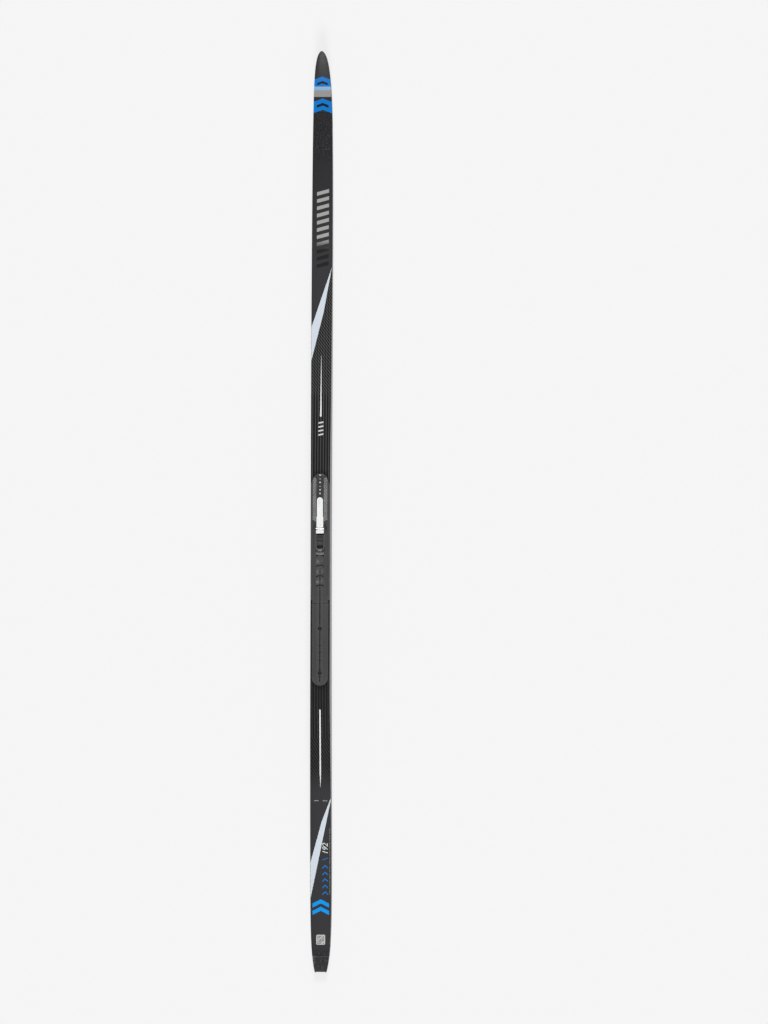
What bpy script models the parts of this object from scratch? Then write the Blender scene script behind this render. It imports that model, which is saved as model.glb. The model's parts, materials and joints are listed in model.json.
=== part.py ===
"""A skating-style cross country ski with a toe-bar binding, lying on its base.

Metres. +Y runs from the tail to the tip, +X to the skier's right, +Z up.
The origin is on the floor, midway along the ski.
"""

import math

import bmesh
import bpy

MM = 0.001

# Ski, seen from the side
LENGTH = 1.920
CREST_Y = -0.140
CAMBER = 0.022
FRONT_CONTACT_Y = 0.785
REAR_CONTACT_Y = -0.865
CONTACT_FLAT = 0.024
TIP_RISE = 0.038
TAIL_RISE = 0.009
MID_THICKNESS = 0.0265
FRONT_THICKNESS = 0.0098
REAR_THICKNESS = 0.0105
TIP_THICKNESS = 0.0056
TAIL_THICKNESS = 0.0080
PLATEAU_FRONT_Y = 0.092
PLATEAU_REAR_Y = -0.372

# Ski, seen from above
FORE_WIDTH = 0.0451
WAIST_WIDTH = 0.0444
AFT_WIDTH = 0.0456
FORE_Y = 0.40
WAIST_Y = -0.05
AFT_Y = -0.72
TIP_ROUNDING = 0.0335
TIP_POWER = 0.58
TAIL_ROUNDING = 0.042
TAIL_NARROWING = 0.0210
SIDEWALL_LEAN = 0.078

# Layers of the ski
GAP = 0.0003
BASE_SHEET = 0.0012
LAMINATE = 0.0007
TOPSHEET = 0.0006
REINFORCEMENT = 0.0015
SIDEWALL = 0.0040
GROOVE_DEPTH = 0.0014
GROOVE_FADE = 0.100
GROOVE_FLOOR = 0.0030
GROOVE_MOUTH = 0.0046
CORE_FRONT_Y = 0.800
CORE_REAR_Y = -0.902
TAIL_CAP_Y = -0.926

# Binding, heights above the ski's flat plateau
PLATEAU = CAMBER + MID_THICKNESS
SLAB_LOW = GAP
SLAB_HIGH = 0.0055
SLAB_FLOOR = 0.0013
TOE_HALF_WIDTH = 0.0197
TOE_REAR_Y = -0.1900
SHOULDER_Y = 0.0620
NOSE_Y = 0.0800
NOSE_HALF_WIDTH = 0.0156
RAIL_HALF_WIDTH = 0.0080
RAIL_HIGH = 0.0095
RAIL_FRONT_Y = -0.0892
RAIL_GROOVE = 0.0010
RAIL_GROOVE_FLOOR = 0.0065
RAIL_GROOVE_FRONT_Y = -0.1220
RAIL_STEPS_Y = (-0.1104, -0.1322, -0.1520)
RAIL_STEP_DEPTH = 0.0012
RAIL_STEP_OUTER = (0.0135, 0.0125)
RAIL_STEP_INNER = (0.0125, 0.0112)
TOWER_HALF_WIDTH = 0.0110
TOWER_HIGH = 0.0118
AXLE_BOSS_HIGH = 0.0152
TOWER_REAR_Y = -0.0735
TOWER_FRONT_Y = -0.0296
AXLE_BOSS_LENGTH = 0.0110
SPRING_WALL_HALF_WIDTH = 0.0052
SPRING_WALL_HIGH = 0.0090
SPRING_WALL_DEPTH = 0.0030
SLIDER_CHANNEL = 0.0054
FLEXOR_CHANNEL = 0.0065
FLEXOR_CHANNEL_FLOOR = 0.0031
WIDE_CHANNEL = 0.0085
FOOT_CHANNEL_FLOOR = 0.0022
HEEL_FRONT_Y = -0.1905
HEEL_REAR_Y = -0.3613
HEEL_HALF_WIDTH = 0.0167

# Mechanism
AXLE_Y = -0.0348
AXLE_UP = 0.0125
AXLE_RADIUS = 0.0013
AXLE_HALF_LENGTH = 0.0101
LEVER_FRONT_Y = 0.0308
LEVER_HALF_WIDTH = 0.00625
LEVER_HALF_THICKNESS = 0.0016
LEVER_SHOULDER_HALF_WIDTH = 0.0071
LEVER_SHOULDER_Y = -0.0095
LEVER_REAR_Y = -0.0322
LEVER_NECK_HALF_WIDTH = 0.0041
LEVER_HUB_RADIUS = 0.0027
FOOT_HALF_WIDTH = 0.0080
FOOT_FRONT_Y = -0.0374
FOOT_REAR_Y = -0.0443
SLIDER_HALF_WIDTH = 0.0050
SLIDER_LOW = 0.0016
SLIDER_HIGH = 0.0028
BAR_Y = -0.0812
BAR_UP = 0.0085
BAR_HALF_SLOT = 0.0027
HOOK_FRONT_Y = -0.0764
HOOK_REAR_Y = -0.0784
HOOK_HIGH = 0.0126
HOOK_NOSE_LOW = 0.0112
HOOK_NOSE_REAR_Y = -0.0818
LUG_REAR_Y = -0.0399
LUG_FRONT_Y = -0.0369
LUG_HIGH = 0.0060
TAB_REAR_Y = -0.0220
TAB_HIGH = 0.0088
CRADLE_FRONT_Y = -0.0738
CRADLE_HALF_WIDTH = 0.0082
CRADLE_PASSAGE = 0.0056
SPRING_REAR_Y = -0.0197
SPRING_FRONT_Y = 0.0140
SPRING_UP = 0.0054
SPRING_RADIUS = 0.0026
SPRING_WIRE = 0.00045
SPRING_TURNS = 9
FLEXOR_FRONT_Y = -0.0478
FLEXOR_REAR_Y = -0.0695
FLEXOR_HALF_WIDTH = 0.0062
FLEXOR_LOW = 0.0034
FLEXOR_HIGH = 0.0124
FLEXOR_GROOVES_Y = (-0.0519, -0.0593)
PIN_Y = -0.0655
PIN_RADIUS = 0.0009
PIN_LOW = 0.0063
PIN_HIGH = 0.0120
COVER_REAR_Y = -0.0290
COVER_HIGH = 0.0132
COVER_WALL = 0.0016
COVER_DROP = 0.0055
SLOT_GAP = 0.0004

# Screws
SCREW_PLACES = {
    "screw_front": (0.0, 0.0480),
    "screw_mid_left": (-0.0112, -0.0080),
    "screw_mid_right": (0.0112, -0.0080),
    "screw_heel_front": (0.0, -0.2426),
    "screw_heel_rear": (0.0, -0.3350),
}
SCREW_HEAD_RADIUS = 0.0036
SCREW_HEAD_HIGH = 0.0052
SCREW_HEAD_LOW = 0.0030
SCREW_SHANK_RADIUS = 0.0021
SCREW_DEPTH = 0.0180

ABOVE_ALL = 0.0400
CUT_OVERLAP = 0.0010
SHARP_DEGREES = 35

COLOURS = {
    "top_print": ((0.045, 0.045, 0.048), 0.35, 0.0),
    "running_base": ((0.012, 0.012, 0.013), 0.45, 0.0),
    "sidewall_silver": ((0.42, 0.42, 0.44), 0.40, 0.0),
    "laminate": ((0.05, 0.05, 0.045), 0.50, 0.0),
    "foam_core": ((0.75, 0.62, 0.40), 0.90, 0.0),
    "tip_plastic": ((0.04, 0.04, 0.04), 0.45, 0.0),
    "plate_plastic": ((0.070, 0.070, 0.072), 0.50, 0.0),
    "smoked_plastic": ((0.06, 0.06, 0.065), 0.20, 0.0),
    "lever_white": ((0.86, 0.87, 0.86), 0.35, 0.0),
    "steel": ((0.55, 0.55, 0.56), 0.30, 1.0),
    "spring_steel": ((0.45, 0.45, 0.46), 0.35, 1.0),
    "flexor_rubber": ((0.03, 0.03, 0.03), 0.80, 0.0),
    "screw_black": ((0.05, 0.05, 0.05), 0.40, 0.8),
}


# The ski's lines


def smooth(t):
    """0 to 1 with no slope at either end."""
    t = min(1.0, max(0.0, t))
    return t * t * (3 - 2 * t)


def base_line(y):
    """Height of the running base above the floor."""
    arch_front = FRONT_CONTACT_Y - CONTACT_FLAT / 2
    arch_rear = REAR_CONTACT_Y + CONTACT_FLAT / 2
    rise_front = FRONT_CONTACT_Y + CONTACT_FLAT / 2
    rise_rear = REAR_CONTACT_Y - CONTACT_FLAT / 2
    if y >= rise_front:
        return TIP_RISE * ((y - rise_front) / (LENGTH / 2 - rise_front)) ** 2.1
    if y <= rise_rear:
        return TAIL_RISE * ((rise_rear - y) / (rise_rear + LENGTH / 2)) ** 2
    if y >= arch_front or y <= arch_rear:
        return 0.0
    end = arch_front if y > CREST_Y else arch_rear
    s = abs((y - CREST_Y) / (end - CREST_Y))
    return CAMBER * (1 - s**2.6) ** 2


def top_line(y):
    """Height of the top surface above the floor: flat under the binding, then falling to the ends."""
    if PLATEAU_REAR_Y <= y <= PLATEAU_FRONT_Y:
        return PLATEAU
    if y > PLATEAU_FRONT_Y:
        contact, start, end_thickness = FRONT_CONTACT_Y, PLATEAU_FRONT_Y, TIP_THICKNESS
        thickness, tip = FRONT_THICKNESS, LENGTH / 2
    else:
        contact, start, end_thickness = REAR_CONTACT_Y, PLATEAU_REAR_Y, TAIL_THICKNESS
        thickness, tip = REAR_THICKNESS, -LENGTH / 2
    t = (y - start) / (contact - start)
    if t < 1:
        return PLATEAU - (PLATEAU - thickness) * (1 - (1 - t**1.3) ** 2)
    outward = (y - contact) / (tip - contact)
    return base_line(y) + thickness + (end_thickness - thickness) * outward


def half_width(y):
    """Half the width of the running base: rounded tip, slim waist, blunt tail."""
    if y > WAIST_Y:
        share = smooth((y - WAIST_Y) / (FORE_Y - WAIST_Y))
        width = WAIST_WIDTH + (FORE_WIDTH - WAIST_WIDTH) * share
    else:
        share = smooth((WAIST_Y - y) / (WAIST_Y - AFT_Y))
        width = WAIST_WIDTH + (AFT_WIDTH - WAIST_WIDTH) * share
    from_tip = max(LENGTH / 2 - y, 0.0)
    from_tail = y + LENGTH / 2
    width *= 1 - math.exp(-((from_tip / TIP_ROUNDING) ** TIP_POWER))
    width -= TAIL_NARROWING * math.exp(-from_tail / TAIL_ROUNDING)
    return max(width / 2, 0.0013)


def half_width_at(y, z):
    """Half the width at height z: the sidewalls lean in towards the top."""
    return max(half_width(y) - SIDEWALL_LEAN * (z - base_line(y)), 0.0010)


def groove_depth(y):
    """Depth of the guide groove in the base, fading out towards the tip and the tail."""
    fade_front = smooth((FRONT_CONTACT_Y - y) / GROOVE_FADE)
    fade_rear = smooth((y - REAR_CONTACT_Y) / GROOVE_FADE)
    return GROOVE_DEPTH * fade_front * fade_rear


def stations(rear_y, front_y, extra=()):
    """Places along the ski where its section is taken: close together at the rounded ends."""
    tip_steps = (0.0, 0.0008, 0.0022, 0.0045, 0.008, 0.013, 0.020, 0.029, 0.040, 0.054, 0.072, 0.094, 0.120)
    places = [LENGTH / 2 - step for step in tip_steps]
    places += [-LENGTH / 2 + step for step in (0.0, 0.006, 0.013, 0.021, 0.031, 0.044, 0.060, 0.078)]
    for contact, inward in ((FRONT_CONTACT_Y, -1), (REAR_CONTACT_Y, 1)):
        places += [contact - CONTACT_FLAT / 2, contact + CONTACT_FLAT / 2]
        places += [contact + inward * GROOVE_FADE * share for share in (0.25, 0.4, 0.55, 0.7, 0.85, 1.0)]
    places += [PLATEAU_REAR_Y, PLATEAU_FRONT_Y]
    places += [-0.72 + 0.036 * step for step in range(39)]
    places += [rear_y, front_y, *extra]
    kept = []
    for y in sorted(place for place in places if rear_y - 1e-9 <= place <= front_y + 1e-9):
        if not kept or y - kept[-1] > 0.0007:
            kept.append(y)
    kept[-1] = front_y
    return kept


# Blender helpers


def clear_scene():
    for obj in list(bpy.data.objects):
        bpy.data.objects.remove(obj, do_unlink=True)


def new_collection(name, hidden=False):
    collection = bpy.data.collections.new(name)
    collection.hide_render = hidden
    bpy.context.scene.collection.children.link(collection)
    return collection


def material(name):
    """The Principled material of this name, made the first time it is asked for."""
    found = bpy.data.materials.get(name)
    if found:
        return found
    colour, roughness, metallic = COLOURS[name]
    made = bpy.data.materials.new(name)
    made.use_nodes = True
    shader = made.node_tree.nodes["Principled BSDF"]
    shader.inputs["Base Color"].default_value = (*colour, 1.0)
    shader.inputs["Roughness"].default_value = roughness
    shader.inputs["Metallic"].default_value = metallic
    return made


def finish(obj, name, finish_name):
    """Names the object, puts it with the ski's parts and shades its round faces smooth."""
    obj.name = name
    obj.data.name = name
    for collection in list(obj.users_collection):
        collection.objects.unlink(obj)
    PARTS.objects.link(obj)
    obj.data.materials.clear()
    obj.data.materials.append(material(finish_name))
    obj.data.shade_smooth()
    obj.data.set_sharp_from_angle(angle=math.radians(SHARP_DEGREES))
    return obj


def loft(name, finish_name, sections):
    """A closed body through sections that each have the same number of points, anticlockwise from -Y."""
    bm = bmesh.new()
    rings = [[bm.verts.new(point) for point in section] for section in sections]
    count = len(rings[0])
    for first, second in zip(rings, rings[1:]):
        for i in range(count):
            j = (i + 1) % count
            bm.faces.new((first[i], first[j], second[j], second[i]))
    bm.faces.new(reversed(rings[0]))
    bm.faces.new(rings[-1])
    bmesh.ops.recalc_face_normals(bm, faces=bm.faces)
    mesh = bpy.data.meshes.new(name)
    bm.to_mesh(mesh)
    bm.free()
    obj = bpy.data.objects.new(name, mesh)
    PARTS.objects.link(obj)
    return finish(obj, name, finish_name)


def box(low, high):
    """A primitive box between two corners."""
    bpy.ops.mesh.primitive_cube_add(size=1, location=[(a + b) / 2 for a, b in zip(low, high)])
    obj = bpy.context.object
    obj.scale = [b - a for a, b in zip(low, high)]
    bpy.ops.object.transform_apply(location=True, rotation=True, scale=True)
    return obj


def cylinder(radius, start, end, sides=24):
    """A primitive cylinder along X, Y or Z from start to end."""
    middle = [(a + b) / 2 for a, b in zip(start, end)]
    span = [b - a for a, b in zip(start, end)]
    axis = max(range(3), key=lambda i: abs(span[i]))
    turn = {0: (0, math.pi / 2, 0), 1: (math.pi / 2, 0, 0), 2: (0, 0, 0)}[axis]
    bpy.ops.mesh.primitive_cylinder_add(
        vertices=sides, radius=radius, depth=abs(span[axis]), location=middle, rotation=turn
    )
    bpy.ops.object.transform_apply(location=True, rotation=True, scale=True)
    return bpy.context.object


def slab(outline, low, high):
    """A flat outline in X and Y, extruded from low to high, as a mesh."""
    curve = bpy.data.curves.new("outline", "CURVE")
    curve.dimensions = "2D"
    curve.fill_mode = "BOTH"
    curve.extrude = (high - low) / 2
    spline = curve.splines.new("POLY")
    spline.points.add(len(outline) - 1)
    for point, (x, y) in zip(spline.points, outline):
        point.co = (x, y, 0, 1)
    spline.use_cyclic_u = True
    drawn = bpy.data.objects.new("outline", curve)
    bpy.context.scene.collection.objects.link(drawn)
    drawn.location = (0, 0, (low + high) / 2)
    bpy.context.view_layer.update()
    graph = bpy.context.evaluated_depsgraph_get()
    mesh = bpy.data.meshes.new_from_object(drawn.evaluated_get(graph))
    mesh.transform(drawn.matrix_world)
    bpy.data.objects.remove(drawn, do_unlink=True)
    bm = bmesh.new()
    bm.from_mesh(mesh)
    bmesh.ops.remove_doubles(bm, verts=bm.verts, dist=1e-6)
    bmesh.ops.recalc_face_normals(bm, faces=bm.faces)
    bm.to_mesh(mesh)
    bm.free()
    obj = bpy.data.objects.new("slab", mesh)
    bpy.context.scene.collection.objects.link(obj)
    return obj


def combine(target, tool, operation):
    """Applies an exact Boolean to target and puts the tool away."""
    modifier = target.modifiers.new("boolean", "BOOLEAN")
    modifier.operation = operation
    modifier.solver = "EXACT"
    modifier.object = tool
    bpy.ops.object.select_all(action="DESELECT")
    bpy.context.view_layer.objects.active = target
    target.select_set(True)
    bpy.ops.object.modifier_apply(modifier=modifier.name)
    bpy.data.objects.remove(tool, do_unlink=True)


def joined(objects):
    """Several bodies as the one mesh of a cutter."""
    bpy.ops.object.select_all(action="DESELECT")
    for obj in objects:
        obj.select_set(True)
    bpy.context.view_layer.objects.active = objects[0]
    bpy.ops.object.join()
    return bpy.context.object


def arc(centre_x, centre_y, radius_x, radius_y, from_degrees, to_degrees, steps):
    """Points on part of an ellipse."""
    turn = [math.radians(from_degrees + (to_degrees - from_degrees) * i / steps) for i in range(steps + 1)]
    return [(centre_x + radius_x * math.cos(a), centre_y + radius_y * math.sin(a)) for a in turn]


def up(height):
    """A height above the plateau as a height above the floor."""
    return PLATEAU + height


# The ski's layers


def grooved_columns(y, z_lift, half):
    """Points across the ski from left to right at z_lift above the base line, humped over the groove."""
    mouth = min(GROOVE_MOUTH, half * 0.7)
    floor = min(GROOVE_FLOOR, half * 0.4)
    hump = groove_depth(y)
    low = base_line(y) + z_lift
    return [
        (-half, y, low),
        (-mouth, y, low),
        (-floor, y, low + hump),
        (floor, y, low + hump),
        (mouth, y, low),
        (half, y, low),
    ]


def sheet_section(y, low_lift, high_lift, inset):
    """Section of a sheet that follows the base, groove and all."""
    half_low = half_width_at(y, base_line(y) + low_lift) - inset
    half_high = half_width_at(y, base_line(y) + high_lift) - inset
    low = grooved_columns(y, low_lift, half_low)
    high = grooved_columns(y, high_lift, half_high)
    return low + high[::-1]


def base_sheet():
    places = stations(TAIL_CAP_Y + GAP, LENGTH / 2)
    return loft("base_sheet", "running_base", [sheet_section(y, 0, BASE_SHEET, 0) for y in places])


def lower_laminate():
    low = BASE_SHEET + GAP
    inset = SIDEWALL + GAP
    places = stations(CORE_REAR_Y, CORE_FRONT_Y)
    return loft(
        "lower_laminate", "laminate", [sheet_section(y, low, low + LAMINATE, inset) for y in places]
    )


def core_top(y):
    """The core stops short of the upper laminate, and lower still under the binding's reinforcement."""
    depth = TOPSHEET + LAMINATE + 3 * GAP
    ramp = 0.001
    if PLATEAU_REAR_Y - ramp < y < PLATEAU_FRONT_Y + ramp:
        depth += REINFORCEMENT + GAP
    return top_line(y) - depth


def core():
    low_lift = BASE_SHEET + LAMINATE + 2 * GAP
    inset = SIDEWALL + GAP
    sections = []
    edges = (PLATEAU_REAR_Y - 0.002, PLATEAU_FRONT_Y + 0.002)
    for y in stations(CORE_REAR_Y, CORE_FRONT_Y, edges):
        half_low = half_width_at(y, base_line(y) + low_lift) - inset
        half_high = half_width_at(y, core_top(y)) - inset
        low = grooved_columns(y, low_lift, half_low)
        high = [(half_high, y, core_top(y)), (-half_high, y, core_top(y))]
        sections.append(low + high)
    return loft("core", "foam_core", sections)


def flat_strip(name, finish_name, rear_y, front_y, depth_low, depth_high, inset):
    """A sheet measured down from the top surface."""
    sections = []
    for y in stations(rear_y, front_y):
        low, high = top_line(y) - depth_low, top_line(y) - depth_high
        half_low = half_width_at(y, low) - inset
        half_high = half_width_at(y, high) - inset
        sections.append([(-half_low, y, low), (half_low, y, low), (half_high, y, high), (-half_high, y, high)])
    return loft(name, finish_name, sections)


def binding_reinforcement():
    high = TOPSHEET + LAMINATE + 2 * GAP
    return flat_strip(
        "binding_reinforcement", "laminate", PLATEAU_REAR_Y, PLATEAU_FRONT_Y,
        high + REINFORCEMENT, high, SIDEWALL + GAP,
    )


def upper_laminate():
    high = TOPSHEET + GAP
    return flat_strip(
        "upper_laminate", "laminate", CORE_REAR_Y, CORE_FRONT_Y, high + LAMINATE, high, SIDEWALL + GAP
    )


def topsheet():
    return flat_strip("topsheet", "top_print", TAIL_CAP_Y + GAP, LENGTH / 2, TOPSHEET, 0, 0)


def sidewall(side):
    """A leaning strip between the base sheet and the topsheet: side is -1 for left and 1 for right."""
    sections = []
    for y in stations(CORE_REAR_Y, CORE_FRONT_Y):
        low = base_line(y) + BASE_SHEET + GAP
        high = top_line(y) - TOPSHEET - GAP
        outer_low, outer_high = half_width_at(y, low), half_width_at(y, high)
        sections.append([
            (side * (outer_low - SIDEWALL), y, low),
            (side * outer_low, y, low),
            (side * outer_high, y, high),
            (side * (outer_high - SIDEWALL), y, high),
        ])
    return loft("sidewall_right" if side > 0 else "sidewall_left", "sidewall_silver", sections)


def between_sheets(name, rear_y, front_y):
    """A plastic filler between the base sheet and the topsheet, the ski's full width."""
    sections = []
    for y in stations(rear_y, front_y):
        low = base_line(y) + BASE_SHEET + GAP
        high = top_line(y) - TOPSHEET - GAP
        half_low, half_high = half_width_at(y, low), half_width_at(y, high)
        hump = groove_depth(y)
        mouth, floor = min(GROOVE_MOUTH, half_low * 0.7), min(GROOVE_FLOOR, half_low * 0.4)
        sections.append([
            (-half_low, y, low),
            (-mouth, y, low),
            (-floor, y, low + hump),
            (floor, y, low + hump),
            (mouth, y, low),
            (half_low, y, low),
            (half_high, y, high),
            (-half_high, y, high),
        ])
    return loft(name, "tip_plastic", sections)


def tail_protector():
    """The moulded cap that closes the tail, as thick as the whole ski."""
    sections = []
    for y in stations(-LENGTH / 2, TAIL_CAP_Y):
        low, high = base_line(y), top_line(y)
        half_low, half_high = half_width_at(y, low), half_width_at(y, high)
        chamfer = 0.0012
        sections.append([
            (-half_low, y, low),
            (half_low, y, low),
            (half_high, y, high - chamfer),
            (half_high - chamfer, y, high),
            (-half_high + chamfer, y, high),
            (-half_high, y, high - chamfer),
        ])
    return loft("tail_protector", "tip_plastic", sections)


# The binding's plates


def toe_outline():
    """Full-width slab whose shoulders narrow to a round nose."""
    nose_rise = NOSE_Y - SHOULDER_Y - 0.004
    right = [(TOE_HALF_WIDTH, TOE_REAR_Y), (TOE_HALF_WIDTH, SHOULDER_Y - 0.003)]
    nose = arc(0, SHOULDER_Y + 0.004, NOSE_HALF_WIDTH, nose_rise, 0, 180, 16)
    left = [(-TOE_HALF_WIDTH, SHOULDER_Y - 0.003), (-TOE_HALF_WIDTH, TOE_REAR_Y)]
    return right + nose + left


def rail_outline(front_y, rear_y):
    """The guide rail's outline with a domed front."""
    front = arc(0, front_y - RAIL_HALF_WIDTH * 0.7, RAIL_HALF_WIDTH, RAIL_HALF_WIDTH * 0.7, 0, 180, 10)
    return [(RAIL_HALF_WIDTH, rear_y), *front, (-RAIL_HALF_WIDTH, rear_y)]


def screw_cutter(names, head_low, head_high):
    """Head pockets and shank holes for the named screws."""
    pieces = []
    for name in names:
        x, y = SCREW_PLACES[name]
        pieces.append(
            cylinder(SCREW_HEAD_RADIUS + GAP, (x, y, up(head_low - GAP)), (x, y, up(head_high)), 20)
        )
    return joined(pieces)


def shank_cutter(names, low, high):
    pieces = []
    for name in names:
        x, y = SCREW_PLACES[name]
        pieces.append(cylinder(SCREW_SHANK_RADIUS + GAP, (x, y, up(low)), (x, y, up(high)), 16))
    return joined(pieces)


def toe_plate():
    """Slab, flexor tower, spring wall and front half of the guide rail, with the mechanism's channel."""
    plate = slab(toe_outline(), up(SLAB_LOW), up(SLAB_HIGH))
    join_up = up(SLAB_HIGH - CUT_OVERLAP)
    tower = box((-TOWER_HALF_WIDTH, TOWER_REAR_Y, join_up), (TOWER_HALF_WIDTH, TOWER_FRONT_Y, up(AXLE_BOSS_HIGH)))
    combine(plate, tower, "UNION")
    combine(plate, slab(rail_outline(RAIL_FRONT_Y, TOE_REAR_Y), join_up, up(RAIL_HIGH)), "UNION")
    wall = box(
        (-SPRING_WALL_HALF_WIDTH, SPRING_FRONT_Y + GAP, join_up),
        (SPRING_WALL_HALF_WIDTH, SPRING_FRONT_Y + SPRING_WALL_DEPTH, up(SPRING_WALL_HIGH)),
    )
    combine(plate, wall, "UNION")
    # half width, rear, front and floor of each cut
    cuts = [
        (SLIDER_CHANNEL, TOWER_REAR_Y - 0.003, SPRING_FRONT_Y + GAP, SLAB_FLOOR),
        (FLEXOR_CHANNEL, TOWER_REAR_Y - 0.003, FLEXOR_FRONT_Y + GAP, FLEXOR_CHANNEL_FLOOR),
        (WIDE_CHANNEL, FLEXOR_FRONT_Y + CUT_OVERLAP, TOWER_FRONT_Y + CUT_OVERLAP, FOOT_CHANNEL_FLOOR),
        (WIDE_CHANNEL, RAIL_FRONT_Y + GAP, TOWER_REAR_Y, SLAB_FLOOR),
        (2 * TOWER_HALF_WIDTH, TOWER_REAR_Y - 0.005, TOWER_FRONT_Y - AXLE_BOSS_LENGTH, TOWER_HIGH),
        (RAIL_GROOVE, TOE_REAR_Y - CUT_OVERLAP, RAIL_GROOVE_FRONT_Y, RAIL_GROOVE_FLOOR),
    ]
    for half, rear, front, floor in cuts:
        combine(plate, box((-half, rear, up(floor)), (half, front, up(ABOVE_ALL))), "DIFFERENCE")
    for y in RAIL_STEPS_Y:
        middle = y - RAIL_STEP_INNER[0]
        step = arc(0, middle, *RAIL_STEP_OUTER, 30, 150, 8) + arc(0, middle, *RAIL_STEP_INNER, 150, 30, 8)
        combine(plate, slab(step, up(RAIL_HIGH - RAIL_STEP_DEPTH), up(ABOVE_ALL)), "DIFFERENCE")
    axle_hole = cylinder(AXLE_RADIUS + GAP, (-0.0103, AXLE_Y, up(AXLE_UP)), (0.0103, AXLE_Y, up(AXLE_UP)), 16)
    combine(plate, axle_hole, "DIFFERENCE")
    names = ["screw_front", "screw_mid_left", "screw_mid_right"]
    combine(plate, screw_cutter(names, SCREW_HEAD_LOW, ABOVE_ALL), "DIFFERENCE")
    combine(plate, shank_cutter(names, -0.002, 0.0040), "DIFFERENCE")
    return finish(plate, "toe_plate", "plate_plastic")


def heel_plate():
    """Slim slab with a round rear end and the rear half of the guide rail."""
    end_y = HEEL_REAR_Y + HEEL_HALF_WIDTH
    rear = arc(0, end_y, HEEL_HALF_WIDTH, HEEL_HALF_WIDTH, 180, 360, 20)
    outline = [(HEEL_HALF_WIDTH, HEEL_FRONT_Y), (-HEEL_HALF_WIDTH, HEEL_FRONT_Y), *rear]
    plate = slab(outline[::-1], up(SLAB_LOW), up(SLAB_HIGH))
    rail_rear = arc(0, HEEL_REAR_Y + 0.012, RAIL_HALF_WIDTH, 0.008, 180, 360, 10)
    rail = [(RAIL_HALF_WIDTH, HEEL_FRONT_Y), (-RAIL_HALF_WIDTH, HEEL_FRONT_Y), *rail_rear]
    combine(plate, slab(rail[::-1], up(SLAB_HIGH - CUT_OVERLAP), up(RAIL_HIGH)), "UNION")
    groove = box(
        (-RAIL_GROOVE, HEEL_REAR_Y + RAIL_HALF_WIDTH, up(RAIL_GROOVE_FLOOR)),
        (RAIL_GROOVE, HEEL_FRONT_Y + CUT_OVERLAP, up(ABOVE_ALL)),
    )
    combine(plate, groove, "DIFFERENCE")
    names = ["screw_heel_front", "screw_heel_rear"]
    combine(plate, screw_cutter(names, SCREW_HEAD_LOW, ABOVE_ALL), "DIFFERENCE")
    combine(plate, shank_cutter(names, -0.002, 0.0040), "DIFFERENCE")
    return finish(plate, "heel_plate", "plate_plastic")


def cover_section(y, inset):
    """Section of the housing: steep flanks, a flat top that runs down to the nose."""
    reach = (y - COVER_REAR_Y) / (NOSE_Y - 0.0010 - COVER_REAR_Y)
    nose = max(0.0, (y - SHOULDER_Y - 0.004) / (NOSE_Y - SHOULDER_Y - 0.004))
    half = (NOSE_HALF_WIDTH - 0.0006) * math.sqrt(max(1 - nose**2, 0.02)) - inset
    low = SLAB_HIGH + GAP
    height = COVER_HIGH - low - COVER_DROP * smooth((reach - 0.35) / 0.65)
    height = height * math.sqrt(max(1 - nose**3, 0.05)) - inset
    top_half = half * 0.62
    return [
        (-half, y, up(low)),
        (half, y, up(low)),
        (half * 0.96, y, up(low + height * 0.45)),
        (top_half, y, up(low + height)),
        (-top_half, y, up(low + height)),
        (-half * 0.96, y, up(low + height * 0.45)),
    ]


def housing_cover():
    """Smoked shell over the lever and spring, slotted for the lever."""
    front = NOSE_Y - 0.0010
    steps = [COVER_REAR_Y + (front - COVER_REAR_Y) * share for share in (0, 0.2, 0.4, 0.55, 0.7, 0.8)]
    steps += [SHOULDER_Y + 0.004 + 0.0130 * share for share in (0.0, 0.35, 0.62, 0.82, 0.94, 1.0)]
    cover = loft("housing_cover", "smoked_plastic", [cover_section(y, 0) for y in steps])
    inner = [COVER_REAR_Y - 0.001, *steps[1:-3]]
    hollow = loft("hollow", "smoked_plastic", [cover_section(y, COVER_WALL) for y in inner])
    hollow.location.z = -0.0004
    combine(cover, hollow, "DIFFERENCE")
    slot_front = LEVER_FRONT_Y - LEVER_HALF_WIDTH
    half_slot, half_rear = LEVER_HALF_WIDTH + SLOT_GAP, LEVER_SHOULDER_HALF_WIDTH + SLOT_GAP
    rear, step = COVER_REAR_Y - CUT_OVERLAP, LEVER_SHOULDER_Y + 2 * SLOT_GAP
    slot = slab(
        [(half_rear, rear), (half_rear, step), (half_slot, step + 2 * CUT_OVERLAP),
         *arc(0, slot_front, half_slot, half_slot, 0, 180, 12),
         (-half_slot, step + 2 * CUT_OVERLAP), (-half_rear, step), (-half_rear, rear)],
        up(0.0060), up(ABOVE_ALL),
    )
    combine(cover, slot, "DIFFERENCE")
    return finish(cover, "housing_cover", "smoked_plastic")


# The mechanism


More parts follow.
